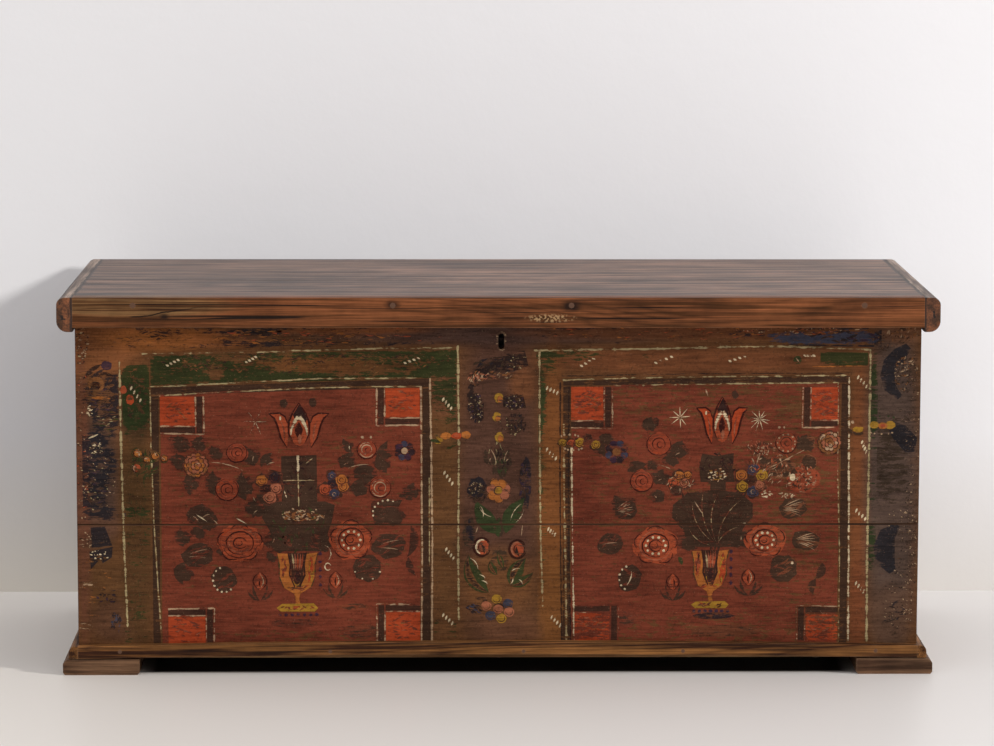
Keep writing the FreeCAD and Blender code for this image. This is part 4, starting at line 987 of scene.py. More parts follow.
    def bud(self, x, z, rx, rz, light=-1):
        """A closed bud with dark outlines over a spray of leaves."""
        for across, width in ((-2.4, 0.6), (-1.3, 0.6), (1.3, 0.6), (2.4, 0.6)):
            self.brush((x, z - rz * 2.5), (x + rx * across, z - rz * (1.0 if abs(across) > 2 else 0.3)), rx * width,
                       "foliage", 3, 0.12 * (1 if across < 0 else -1), 0.5, 0.8, steps=6)
        self.brush((x, z - rz * 1.1), (x, z + rz * 1.35), rx * 1.9, "rose", 4, 0, 0.42, 0.78)
        for side in (-1, 1):
            self.brush((x, z - rz * 1.1), (x, z + rz * 1.35), 2.3, "maroon", 5, 0.36 * side, 0.5, 0.88)
        self.brush((x, z - rz * 0.8), (x, z + rz), 2.2, "pink" if light > 0 else "chip", 5, 0.24 * light, 0.5, 0.85)
        beside = x + rx * 0.1
        self.brush((beside, z - rz * 0.8), (beside, z + rz * 0.6), 3, "maroon", 5, -0.1 * light, 0.5, 0.85)

    def vase(self, x, base, half, foot_top, cup_low, cup_high, strokes=12):
        """A footed cup: two swelling ochre sides round a dark fluted mouth, on a yellow foot."""
        tall = cup_high - cup_low
        at, through = measured(x, cup_low, half, tall)
        self.plate(through(1, (-1, 0.98), (-0.86, 0.72), (-0.86, 0.4), (-0.66, 0.14), (-0.2, 0), (0.2, 0),
                           (0.68, 0.16), (0.86, 0.42), (0.84, 0.7), (1, 1), (0.5, 0.97), (0, 0.95), (-0.5, 0.97)),
                   "ochre", 4, 0.92, 0.2)
        for place, rx, rz, count, long, wide, paints, cover, lean, spread in (
                ((-0.66, 0.66), 0.14, 0.26, strokes, 13, 3, "orange rose brown", 0.7, 90, 14),
                ((0.66, 0.56), 0.14, 0.32, strokes * 2, 13, 3.4, "orange yellow orange", 0.8, 90, 14),
                ((0, 0.14), 0.5, 0.08, 12, 10, 2.6, "yellow leaf_green orange", 0.62, 10, 30)):
            self.spray(*at(*place), half * rx, tall * rz, count, long, wide, paints, 5, cover, lean, spread)
        self.plate(through(1, (-0.4, 0.99), (-0.3, 0.6), (-0.3, 0.36), (-0.06, 0.17), (0.1, 0.17), (0.3, 0.38),
                           (0.3, 0.62), (0.42, 0.99)), "brown", 5, 0.88, 0.2)
        for shift, paint in ((-0.26, "dull"), (-0.12, "pink"), (0.02, "rose"), (0.16, "pink"), (0.28, "rose")):
            self.brush(at(shift, 0.98), at(shift * 0.6, 0.56), 3.6, paint, 6, 0.02, 0.5, 0.7)
        self.blob(*at(0.02, 0.42), half * 0.16, tall * 0.14, "black", 6, 0.85)
        self.arc(*at(-0.02, 0.34), half * 0.18, tall * 0.14, 170, 330, 2.6, "yellow", 6, 0.7)
        for side in (-1, 1):
            self.ribbon(through(side, (0.45, 1), (0.33, 0.7), (0.37, 0.45), (0.12, 0.15)), [2, 3, 3.2, 1.6], "black",
                        6, 0.88)
            self.ribbon(through(side, (1, 0.98), (0.88, 0.7), (0.88, 0.4), (0.66, 0.13)), [1.6, 2.6, 2.6, 1.6],
                        "leaf_green", 5, 0.55)
        stem = [at(0, 0.03), (x, (cup_low + foot_top) / 2), (x + 1, foot_top - 3)]
        self.ribbon(stem, [12, 6, 9], "ochre", 4, 0.9, 0.2)
        foot = [(x - half * 1.02, base + 6), (x - half * 0.8, base), (x + half * 0.85, base),
                (x + half * 1.02, base + 6), (x + half * 0.8, foot_top), (x - half * 0.75, foot_top - 1)]
        self.plate(foot, "yellow", 4, 0.9, 0.2)
        self.spray(x, (base + foot_top) / 2, half * 0.8, 3, 16, 8, 2.6, "ochre orange maroon", 5, 0.6, 0, 40)
        for i in range(7):
            self.blob(x - half * 0.85 + half * 0.3 * i, base - 5, 3.4, 3.4, "violet", 4, 0.66)
        for i in range(5):
            self.blob(x + half * 1.12, cup_low + 14 + tall * 0.19 * i, 3.2, 4, "violet", 4, 0.66)

    def frame_flower(self, x, z, r):
        """A small blurred flower over the frame."""
        self.blob(x, z, r * 1.4, r * 1.3, "green", 3, 0.5)
        self.blob(x, z, r, r * 0.9, "ochre" if z > 350 else "rose", 4, 0.7)
        self.spray(x, z, r * 0.8, r * 0.7, 6, r, 2.4, "chip ochre pink brown", 5, 0.75, 120, 60)
        self.arc(x, z, r * 0.8, r * 0.8, 100, 330, 1.8, "maroon", 6, 0.85, 8)

    def side_bud(self, x, z, light):
        """A half open bud at the side of the middle stem."""
        self.blob(x, z, 13, 15, "maroon", 3, 0.7)
        self.blob(x, z, 11, 13, "rose", 4, 0.66)
        self.arc(x, z, 14, 16, 30, 340, 4, "maroon", 5, 1)
        self.arc(x, z, 10, 12, 70, 250, 3.8, "cream" if light < 0 else "pink", 5, 0.9)
        self.brush((x + 3, z - 12), (x - 2, z + 5), 5, "black", 5, 0.12 * light, 0.5, 0.9)
        self.arc(x, z, 6, 8, 90, 300, 2, "maroon", 6, 0.85)

    def ribbed_leaf(self, start, end, width, bend):
        """A fresh leaf with a dark rib."""
        self.leaf(start, end, width, 0, "leaf_green", 0.86, bend)
        self.brush(start, end, width * 0.4, "black", 4, bend * 1.5, 0.5, 0.6)

    def petal_dab(self, x, z, paint):
        """A round petal with a dark edge."""
        self.blob(x, z, 8.6, 8, paint, 4, 1.0)
        self.arc(x, z, 6, 5.5, 180, 400, 1.6, "black", 5, 0.6, 8)

    def ticks(self, lean, *rows):
        """Rows of four short strokes that lean alike, each from (x, z) on by (dx, dz)."""
        for x, z, dx, dz in rows:
            for t in (0, 1 / 3, 2 / 3, 1):
                start = (x + dx * t - lean[0] / 2, z + dz * t - lean[1] / 2)
                self.brush(start, (start[0] + lean[0], start[1] + lean[1]), 3.8, "cream", 6, 0, 0.5,
                           self.vary(0.72, 1.0), 4)

    def corner_square(self, box, open_sides, cover=0.95):
        """An orange square with a dark angle and cream lines. open_sides are its two free sides."""
        left, right, low, high = box
        across, up = open_sides
        self.sheet(left, right, low, high, "orange", 3, cover, 14)
        wide, gap = 9.5, 2.5
        x_edge = right if across > 0 else left
        z_edge = high if up > 0 else low
        start = x_edge + across * gap
        inner, outer = sorted((start, start + across * wide))
        band_low, band_high = sorted((z_edge + up * (gap + wide), high if up < 0 else low))
        self.sheet(inner, outer, band_low, band_high, "brown", 3, 0.9, 14)
        inner_z, outer_z = sorted((z_edge + up * gap, z_edge + up * (gap + wide)))
        self.sheet(left, right, inner_z, outer_z, "brown", 3, 0.88, 14)
        far_x = x_edge + across * (gap + wide + 2)
        far_z = z_edge + up * (gap + wide + 2)
        back_x = left if across > 0 else right
        back_z = low if up > 0 else high
        near = (x_edge + across, z_edge + up)
        for start, end, width, loss in (((near[0], back_z), near, 3, 0.3), ((back_x, near[1]), near, 3, 0.3),
                                        ((far_x, back_z), (far_x + across, far_z), 3.2, 0.25),
                                        ((back_x, far_z - up * 1.5), (far_x, far_z), 3.2, 0.25)):
            self.path([start, end], width, "chip", 4, cover - loss)

    def pins(self):
        """The ends of the dovetail pins, paler than the board around them."""
        for low, high, count in ((FOOT, JOINT, 3), (JOINT, RIM, 5)):
            for i in range(count):
                z = low + (high - low) * (i + 0.5) / count
                for side in (-1, 1):
                    pale = 0.3 if (side < 0 and z < JOINT - 50) else 0.12
                    near, far = side * 674.5, side * 699
                    outline = [(near, z - 8), (far, z - 4.2), (far, z + 4.2), (near, z + 8)]
                    self.plate(outline if side < 0 else outline[::-1], "chip", 1, pale)
                    for lift in (-1, 1):
                        self.path([(side * 675, z + lift * 8.4), (far, z + lift * 4.6)], 0.9, "black", 2, 0.46)


def worn_by(base, *patches):
    """How much paint is left at a place: base, less what each patch has rubbed away or added."""
    def cover(x, z):
        return base + sum(nearness(x, z, patch) * patch[4] for patch in patches)
    return cover


# The painting, each mark placed one by one. A row names a shape of Brushwork, and gives that shape's values for
# one mark after another.
# The red fields, the green bands and the dark bands between the lines of each frame.
PAINTED_FIELDS = (
    ("sheet", (-560, -130, FOOT + 1, (469, 482), "red", 1, worn_by(0.94, (-430, 330, 120, 90, -0.2),
        (-230, 330, 80, 90, -0.2), (-470, 180, 60, 60, -0.14), (-180, 190, 50, 70, -0.14), (-330, 60, 150, 14, -0.3),
        (-150, 60, 40, 20, -0.2), (-320, 250, 120, 10, -0.1))), (121, 566, FOOT + 1, (482, 488), "red", 1,
        worn_by(0.88, (340, 460, 220, 44, -0.3), (230, 330, 90, 90, -0.16), (430, 320, 110, 90, -0.2),
        (520, 300, 60, 190, -0.22), (360, 70, 240, 24, -0.28), (150, 90, 40, 40, -0.1), (430, 120, 90, 40, -0.12),
        (200, 250, 80, 12, -0.16))), (-576, -69, (484, 498), (535, 544), "green", 1, worn_by(0.8,
        (-300, 520, 92, 13, -0.62), (-235, 510, 60, 11, -0.5), (-430, 528, 40, 8, -0.3), (-470, 505, 16, 14, -0.5),
        (-160, 512, 26, 10, -0.3), (-330, 494, 60, 5, 0.25), (-380, 540, 120, 5, 0.1)), 7, 0.25)),
    ("spray", (-330, 532, 200, 6, 90, 14, 3, "black green green", 2, 0.7, 0, 20)),
    ("sheet", (-623, -578, 52, (518, 520), "green", 1, worn_by(0.62, (-600, 462, 30, 58, 0.5),
        (-597, 350, 30, 80, -0.5), (-600, 274, 16, 12, 0.4), (-600, 160, 30, 120, -0.42), (-600, 100, 12, 16, 0.35)),
        7, 0.25)),
    ("spray", (-600, 470, 18, 44, 60, 9, 3, "black leaf_green brown", 2, 0.6, 20, 70), (-600, 290, 16, 90, 60, 16, 3,
        "leaf_green green brown", 2, 0.5, 88, 12), (-600, 120, 16, 70, 40, 16, 3, "leaf_green brown", 2, 0.45, 88,
        12), (-330, 520, 230, 16, 260, 9, 2.6, "black leaf_green brown bronze", 2, 0.6, 0),
        (-140, 528, 60, 9, 40, 9, 2.4, "black leaf_green brown", 2, 0.6, 0, 40)),
    ("sheet", (-111, -70, 52, 496, "green", 1, worn_by(0.5, (-90, 480, 24, 34, 0.3), (-78, 430, 12, 60, 0.15),
        (-92, 250, 24, 210, -0.5)), 7, 0.25), (62, 250, (498, 500), (541, 543), "green", 1,
        worn_by(0.1, (110, 535, 60, 9, 0.45), (80, 515, 16, 30, 0.35)), 7), (533, 612, (518, 517), (540, 539),
        "green", 1, worn_by(0.75, (570, 532, 46, 8, 0.3), (540, 520, 20, 4, -0.3)), 5)),
    ("path", (((520, 516), (560, 516), (612, 517)), 2.2, "ochre", 2, 0.6)),
    ("blob", (495, 526, 7, 8, "leaf_green", 2, 0.8)),
    ("brush", ((492, 531), (499, 521), 2, "chip", 3, 0, 0.5, 0.8)),
    ("sheet", (66, 80, 150, 500, "leaf_green", 1, worn_by(0.2, (70, 470, 7, 60, 0.55), (70, 380, 5, 90, 0.3)), 5),
        (617, 629, 150, 540, "green", 1, worn_by(0.2, (622, 460, 8, 70, 0.5), (622, 210, 10, 40, 0.45)), 5),
        (-575, -563, 50, (466, 467), "brown", 1, 0.85, 7), (-126, -113, 50, (479, 480), "brown", 1, 0.92, 7),
        (107, 119, 50, (482, 483), "brown", 1, 0.66, 7), (569, 582, 50, (487, 488), "brown", 1, 0.85, 7),
        (-575, -113, (468, 482), (481, 496), "brown", 1, 0.82, 7), (107, 582, (484, 489), (493, 500), "brown", 1,
        0.74, 7)),
)
# Ruled lines, corner squares and ticks.
LINES_LEFT = (
    ("rule", (((-590, 537), (-400, 540), (-200, 546), (-67, 547)), 1, "dull", 0.5), (((-627, 526), (-626, 400),
        (-623, 240), (-618, 78)), 1.1, "dull", 0.74), (((-68, 552), (-66, 400), (-67, 200), (-66, 89)), 1.1, "dull",
        0.74), (((-577, 482), (-430, 489), (-296, 496), (-135, 497)), 0.8, "dull", 0.62), (((-577, 482), (-576, 380),
        (-572, 240), (-562, 66)), 0.8, "dull", 0.62), (((-562, 467), (-485, 472), (-296, 481), (-130, 483)), 0.8,
        "dull", 0.56), (((-114, 497), (-112, 380), (-110, 200), (-111, 52)), 1, "chip", 0.85),
        (((-115, 330), (-115, 180)), 0.7, "dull", 0.6), (((-129, 483), (-128, 340), (-127, 200), (-128, 52)), 0.9,
        "chip")),
    ("corner_square", ((-561, -503, 417, 466), (1, -1)), ((-188, -131, 431, 480), (-1, -1)),
        ((-550, -488, 50, 96), (1, 1), 0.85), ((-188, -130, 54, 103), (-1, 1), 0.86)),
    ("ticks", ((5.5, -2.8), (-548, 518, 18, 9), (-417, 523, 15, 9), (-155, 522, 22, 8)), ((-3, -7.4),
        (-608, 480, 15, -20), (-92, 461, 13, -15), (-90, 338, 13, -18), (-87, 209, 12, -15), (-92, 98, 15, -14))),
    ("rubbed_squares", (24, (-532, 442), (-160, 456), (-519, 73), (-159, 79))),
)
LINES_RIGHT = (
    ("rule", (((58, 543), (230, 545), (455, 550), (615, 544)), 1.2, "dull", 0.6), (((67, 541), (68, 400), (70, 240),
        (74, 112)), 1, "dull", 0.66), (((616, 545), (616, 400), (615, 200), (616, 52)), 1.2, "dull", 0.74),
        (((106, 493), (228, 497), (384, 499), (577, 501)), 0.8, "dull", 0.58), (((190, 484), (384, 487), (563, 489)),
        0.8, "dull", 0.55)),
    ("path", (((102, 490), (102, 341), (104, 180), (106, 52)), 2.6, "black", 2, 0.9)),
    ("rule", (((108, 420), (109, 300), (112, 180), (114, 52)), 1.2, "dull", 0.5)),
    ("path", (((116, 482), (116, 341), (118, 180), (121, 52)), 2.6, "black", 2, 0.85)),
    ("rule", (((121, 380), (122, 300), (124, 180), (127, 54)), 0.9, "cream", 0.66), (((563, 489), (564, 341),
        (569, 200), (569, 52)), 0.7, "dull", 0.5), (((581, 498), (582, 400), (584, 220), (585, 52)), 1, "cream",
        0.66)),
    ("path", (((104, 500), (350, 504), (590, 505)), 1.8, "black", 2, 0.62)),
    ("corner_square", ((120, 174, 426, 482), (1, -1), 0.84), ((519, 563, 427, 481), (-1, -1), 0.78),
        ((127, 186, 54, 101), (1, 1), 0.46), ((513, 567, 54, 99), (-1, 1), 0.58)),
    ("blob", (520, 64, 6, 9, "orange", 4)),
    ("ticks", ((5.5, -2.8), (137, 517, 20, 12), (260, 522, 26, 10), (383, 525, 24, 8), (507, 534, 15, 0)),
        ((-3, -7.4), (80, 480, 17, -8), (80, 377, 15, -15), (83, 243, 11, -9), (89, 94, 14, -14), (596, 498, 14, -15),
        (604, 389, 7, -16), (596, 274, 15, -14), (597, 151, 13, -14))),
    ("rubbed_squares", (60, (147, 454), (541, 454), (157, 78), (540, 76))),
)
# The left bouquet: browned leaves first, then the flowers over them.
LEFT_BOUQUET = (
    ("plate", (((-360, 288), (-361, 366), (-302, 368), (-301, 288)), "foliage", 2, 1.1, 0.5),
        (((-374, 206), (-380, 240), (-393, 262), (-391, 284), (-372, 290), (-288, 290), (-272, 284), (-277, 256),
        (-284, 236), (-283, 206)), "foliage", 2, 1.1, 0.5)),
    ("spray", (-331, 328, 26, 36, 46, 14, 3.4, "foliage brown black", 3, 1, 90, 70), (-331, 240, 50, 40, 90, 14, 3.4,
        "foliage brown foliage leaf_green", 3, 1, 90, 70), (-326, 266, 34, 9, 70, 9, 3, "bronze brown bronze chip", 4,
        0.9, 0)),
    ("flecks", (-325, 268, 40, 11, 44, 2.2, "foliage chip dull brown", 5)),
    ("path", (((-333, 367), (-333, 340)), 4, "cream", 4, 0.9), (((-333, 340), (-332, 282)), 2.2, "dull", 4),
        (((-332, 282), (-332, 225)), 1.4, "foliage", 4, 0.8), (((-357, 325), (-303, 326)), 1.8, "dull", 4, 0.52)),
    ("brush", ((-320, 354), (-308, 363), 2.6, "dull", 4, 0, 0.5, 0.8), ((-352, 296), (-356, 308), 2.4, "cream", 5)),
    ("leaf", ((-525, 372), (-531, 402), 16), ((-500, 374), (-492, 400), 12), ((-548, 362), (-510, 352), 10),
        ((-524, 340), (-534, 372), 10), ((-462, 360), (-476, 384), 11), ((-404, 350), (-420, 384), 14, 1),
        ((-394, 348), (-376, 372), 9), ((-470, 300), (-474, 342), 14), ((-420, 292), (-426, 340), 15),
        ((-512, 300), (-506, 346), 12), ((-408, 262), (-402, 296), 14, 2), ((-380, 290), (-402, 302), 10, 1),
        ((-520, 268), (-466, 258), 22, 3), ((-508, 246), (-490, 228), 10), ((-524, 214), (-528, 246), 12),
        ((-522, 188), (-526, 150), 13, 0, "foliage", 0.72, -0.15)),
    ("dark_oval", (-500, 200, 26, 19, 15, 0, 2), (-457, 158, 20, 22, 10, 9)),
    ("blob", (-458, 205, 12, 7, "foliage", 3, 0.6)),
    ("leaf", ((-376, 236), (-362, 206), 18, 1), ((-372, 188), (-384, 206), 8), ((-288, 236), (-300, 206), 15),
        ((-262, 346), (-240, 372), 12, 1), ((-244, 372), (-258, 396), 8, 1, "foliage", 0.72, 0.08, "cream"),
        ((-196, 352), (-184, 392), 11), ((-186, 338), (-200, 372), 12), ((-240, 330), (-206, 344), 16),
        ((-236, 298), (-226, 330), 14), ((-206, 252), (-160, 292), 22)),
    ("dots", (-184, 270, 25, 22, 70, 190, 7, 1.9, "cream", 5)),
    ("leaf", ((-150, 292), (-140, 322), 12), ((-166, 298), (-136, 300), 8)),
    ("dark_oval", (-182, 215, 27, 21, 12, 0, 2), (-218, 178, 23, 22)),
    ("dots", (-218, 178, 22, 20, 200, 340, 4, 1.6, "cream", 5)),
    ("leaf", ((-146, 250), (-152, 196), 15, 0, "brown", 0.66, 0.16), ((-150, 196), (-138, 164), 12, 0, "brown", 0.6,
        -0.1)),
    ("blob", (-240, 112, 26, 6, "foliage", 3, 0.42), (-228, 70, 34, 12, "foliage", 3, 0.4),
        (-340, 84, 40, 8, "foliage", 3, 0.36)),
    ("strokes", ((2, "chip", 5, 0.06, 0.5, 0.85, 5), ((-478, 356), (-424, 342)), ((-508, 352), (-490, 354)),
        ((-250, 346), (-214, 352)), ((-384, 352), (-372, 356)))),
    ("brush", ((-436, 262), (-418, 252), 2.2, "cream", 5, 0, 0.4), ((-502, 268), (-484, 256), 2.2, "cream", 5, 0,
        0.4)),
    ("tulip", (-331, 382, 50, 72)),
    ("blob", (-356, 454, 7, 8, "foliage", 3, 0.75), (-308, 456, 7, 8, "foliage", 3, 0.75)),
    ("star", (-403, 424, 21, 6, 0.55)),
    ("vase", (-335, 104, 34, 118, 135, 204)),
    ("rose", (-430, 220, 37, 31), (-245, 225, 34, 33, "dots")),
    ("small_rose", (-434, 372, 17), (-451, 310, 19), (-219, 377, 16, "cream"), (-197, 313, 18, "cream")),
    ("rayed", (-502, 351, 20, "bronze", "pink", "ochre")),
    ("petalled", (-156, 375, 19, "navy blue violet", "chip", 7, 0.34)),
    ("dab_cluster", ((-393, 325, 9, "ochre"), (-372, 330, 9, "navy"), (-370, 312, 9, "pink"), (-386, 312, 8, "black"),
        (-380, 297, 10, "pink")), ((-288, 310, 9, "rose"), (-273, 302, 8, "blue"), (-261, 326, 9, "ochre"),
        (-258, 315, 8, "ochre"), (-276, 318, 8, "navy"), (-277, 333, 7, "blue"))),
    ("dots", (-219, 377, 14, 24, 60, 120, 2, 2.4, "chip", 5)),
    ("bud", (-397, 154, 9, 13), (-271, 156, 9, 12)),
    ("arc", (-284, 180, 5, 6, 20, 320, 2.2, "cream", 5, 0.9), (-291, 202, 12, 14, -50, 80, 2.0, "cream", 5, 0.7)),
    ("frame_flower", (-599, 371, 8), (-570, 366, 7), (-555, 362, 6), (-584, 360, 6), (-601, 346, 8)),
    ("spray", (-588, 352, 24, 20, 40, 13, 3, "green leaf_green black", 3, 0.85, 60)),
    ("blob", (-621, 477, 6, 7, "rose", 4, 0.75), (-610, 461, 7, 9, "orange", 4, 0.66), (-88, 400, 9, 6, "ochre", 4),
        (-54, 402, 8, 7, "ochre", 4), (-70, 400, 9, 6, "orange", 4, 0.8), (-70, 401, 5, 3.5, "rose", 5),
        (-100, 392, 9, 6, "yellow", 4, 0.55)),
    ("brush", ((-116, 392), (-96, 388), 7, "leaf_green", 4, 0.1, 0.5, 0.75), ((-96, 380), (-68, 386), 6, "green", 4,
        -0.1, 0.5, 0.65), ((-118, 402), (-112, 380), 5, "foliage", 4, 0, 0.5, 0.8)),
)
# The right bouquet, with its fan of leaves and the knocks at its upper right.
RIGHT_BOUQUET = (
    ("plate", (((336, 322), (333, 346), (338, 370), (364, 366), (391, 371), (390, 346), (393, 322)), "foliage", 2,
        0.95, 0.6), (((352, 300), (352, 326), (378, 326), (378, 300)), "foliage", 2, 0.95, 0.5),
        (((312, 212), (308, 246), (288, 262), (290, 284), (314, 304), (362, 310), (402, 304), (424, 286), (424, 262),
        (408, 248), (404, 212)), "foliage", 2, 0.9, 0.8)),
    ("spray", (364, 346, 30, 24, 60, 12, 3.4, "foliage brown black foliage", 3, 1, 90, 70),
        (326, 268, 34, 36, 70, 20, 3.6, "foliage brown foliage", 3, 1, 128, 22), (390, 268, 34, 36, 70, 20, 3.6,
        "foliage brown foliage", 3, 1, 52, 22), (358, 258, 22, 46, 60, 20, 3.6, "foliage brown foliage", 3, 1, 90,
        20), (365, 334, 17, 12, 60, 5, 2.6, "chip yellow black bronze cream", 5, 0.85, 30, 60)),
    ("strokes", ((2.2, "dull", 4, 0.12, 0.5, 0.5), ((356, 222), (322, 288)), ((360, 222), (342, 312)),
        ((362, 222), (366, 304)), ((366, 222), (404, 292)), ((364, 216), (398, 246)), ((352, 216), (318, 242)))),
    ("brush", ((326, 290), (340, 268), 2.2, "chip", 5, 0, 0.5, 0.85), ((402, 250), (412, 253), 2.6, "cream", 5, 0,
        0.5, 0.95)),
    ("leaf", ((246, 408), (254, 432), 12), ((290, 360), (306, 392), 14, 1), ((278, 356), (296, 366), 12),
        ((166, 398), (192, 386), 12), ((160, 380), (188, 372), 12), ((214, 340), (246, 352), 12),
        ((248, 348), (262, 356), 9), ((262, 318), (274, 344), 13, 1), ((254, 300), (276, 298), 11, 1),
        ((222, 270), (196, 298), 18)),
    ("dark_oval", (211, 276, 19, 17, 30, 0, 7), (186, 218, 21, 18, 15, 0, 1), (219, 160, 19, 22, -10, 6)),
    ("brush", ((214, 148), (222, 172), 2.2, "cream", 5, -0.1)),
    ("dark_oval", (490, 278, 23, 17, 10, 0, 7), (512, 223, 24, 17, -4, 0, 7), (475, 176, 22, 22)),
    ("blob", (490, 186, 3, 3, "cream", 5, 0.6)),
    ("leaf", ((540, 186), (528, 158), 15, 0, "brown", 0.72, 0.16), ((530, 158), (526, 132), 13, 0, "brown", 0.7,
        -0.18), ((506, 350), (526, 362), 12), ((508, 374), (512, 402), 14), ((500, 376), (498, 400), 9),
        ((400, 236), (418, 214), 15, 1), ((322, 232), (306, 210), 15), ((456, 340), (436, 368), 12),
        ((300, 196), (306, 182), 8, 0, "leaf_green")),
    ("path", (((446, 344), (470, 356), (508, 376)), 1.8, "chip", 5, 0.62)),
    ("brush", ((428, 350), (436, 376), 2.2, "chip", 5, 0, 0.5, 0.85), ((262, 352), (290, 342), 1.6, "chip", 5, 0.05,
        0.5, 0.7)),
    ("blob", (210, 90, 20, 14, "foliage", 3, 0.5), (360, 96, 34, 6, "navy", 3, 0.6), (380, 70, 60, 10, "foliage", 3,
        0.3)),
    ("tulip", (371, 388, 43, 76, "orange")),
    ("brush", ((343, 478), (347, 466), 3, "chip", 5)),
    ("blob", (392, 469, 6, 8, "foliage", 3, 0.8)),
    ("star", (301, 431, 19, 8, 0.9), (433, 428, 19, 11, 0.7)),
    ("vase", (353, 109, 31, 121, 138, 208, 24)),
    ("rose", (262, 215, 36, 32, "dots"), (444, 224, 33, 29, "dots")),
    ("small_rose", (266, 386, 20), (238, 324, 19), (478, 388, 18, "dots")),
    ("rayed", (550, 388, 19, "bronze", "chip", "pink")),
    ("petalled", (196, 373, 23, "navy blue violet", "bronze", 8, 0.3)),
    ("spray", (196, 373, 20, 20, 20, 10, 3, "blue navy brown", 4, 0.5, 0, 90)),
    ("dab_cluster", ((423, 343, 9, "blue"), (438, 333, 9, "yellow"), (406, 315, 9, "yellow"), (423, 306, 9, "blue"),
        (404, 334, 9, "ochre"), (434, 316, 8, "pink"), (421, 324, 8, "brown")), ((291, 321, 9, "rose"),
        (300, 332, 8, "ochre"), (308, 321, 8, "pink"), (296, 309, 8, "foliage"), (314, 334, 6, "ochre"))),
    ("bud", (291, 152, 9, 12, 1), (417, 160, 10, 12)),
    ("dots", (470, 414, 4, 3, 0, 180, 2, 2, "chip", 5)),
    ("dab_cluster", ((106, 389, 6, "yellow"), (135, 389, 7, "yellow"), (161, 385, 7, "yellow"), (120, 388, 6, "rose"),
        (148, 396, 6, "brown"))),
    ("dots", (118, 399, 14, 3, 170, 10, 5, 2, "chip", 5), (124, 379, 14, 3, 190, 350, 5, 2, "chip", 5)),
    ("blob", (624, 418, 8, 6, "yellow", 4, 0.95), (650, 418, 9, 7, "yellow", 4, 0.95), (638, 417, 8, 6, "ochre", 4),
        (638, 417, 4, 3, "rose", 5), (597, 411, 9, 6, "yellow", 4, 0.7), (597, 404, 9, 4, "foliage", 3, 0.8)),
    ("brush", ((580, 414), (588, 400), 7, "foliage", 4, 0, 0.5, 0.8)),
    ("blob", (588, 423, 3, 3, "chip", 5)),
    ("dots", (640, 430, 16, 3, 170, 10, 4, 1.8, "leaf_green", 5), (636, 405, 18, 2, 190, 350, 5, 1.8, "chip", 5,
        0.8)),
    ("blob", (506, 328, 27, 24, "russet", 3, 0.85, 0, 0.12), (470, 345, 26, 18, "foliage", 3, 0.62, 0, 0.2),
        (489, 330, 5, 6, "cream", 6, 0.85)),
    ("spray", (506, 328, 24, 22, 110, 7, 2.4, "rose brown pink brown chip", 5, 0.8, 90, 90),
        (436, 378, 24, 12, 80, 6, 2.0, "chip pink brown foliage chip", 5, 0.8, 110, 60), (455, 350, 38, 20, 70, 10,
        2.6, "foliage brown foliage chip rose", 4, 0.66, 70, 60), (447, 302, 12, 6, 12, 6, 2.8, "cream chip", 6, 0.85,
        0, 60), (480, 301, 12, 6, 14, 6, 2.8, "cream chip", 6, 0.85, 0, 60), (476, 326, 26, 16, 24, 8, 2.2,
        "chip foliage", 6, 0.7, 45, 60), (306, 322, 26, 16, 40, 8, 2.2, "bronze foliage brown chip", 5, 0.66, 45,
        60)),
)
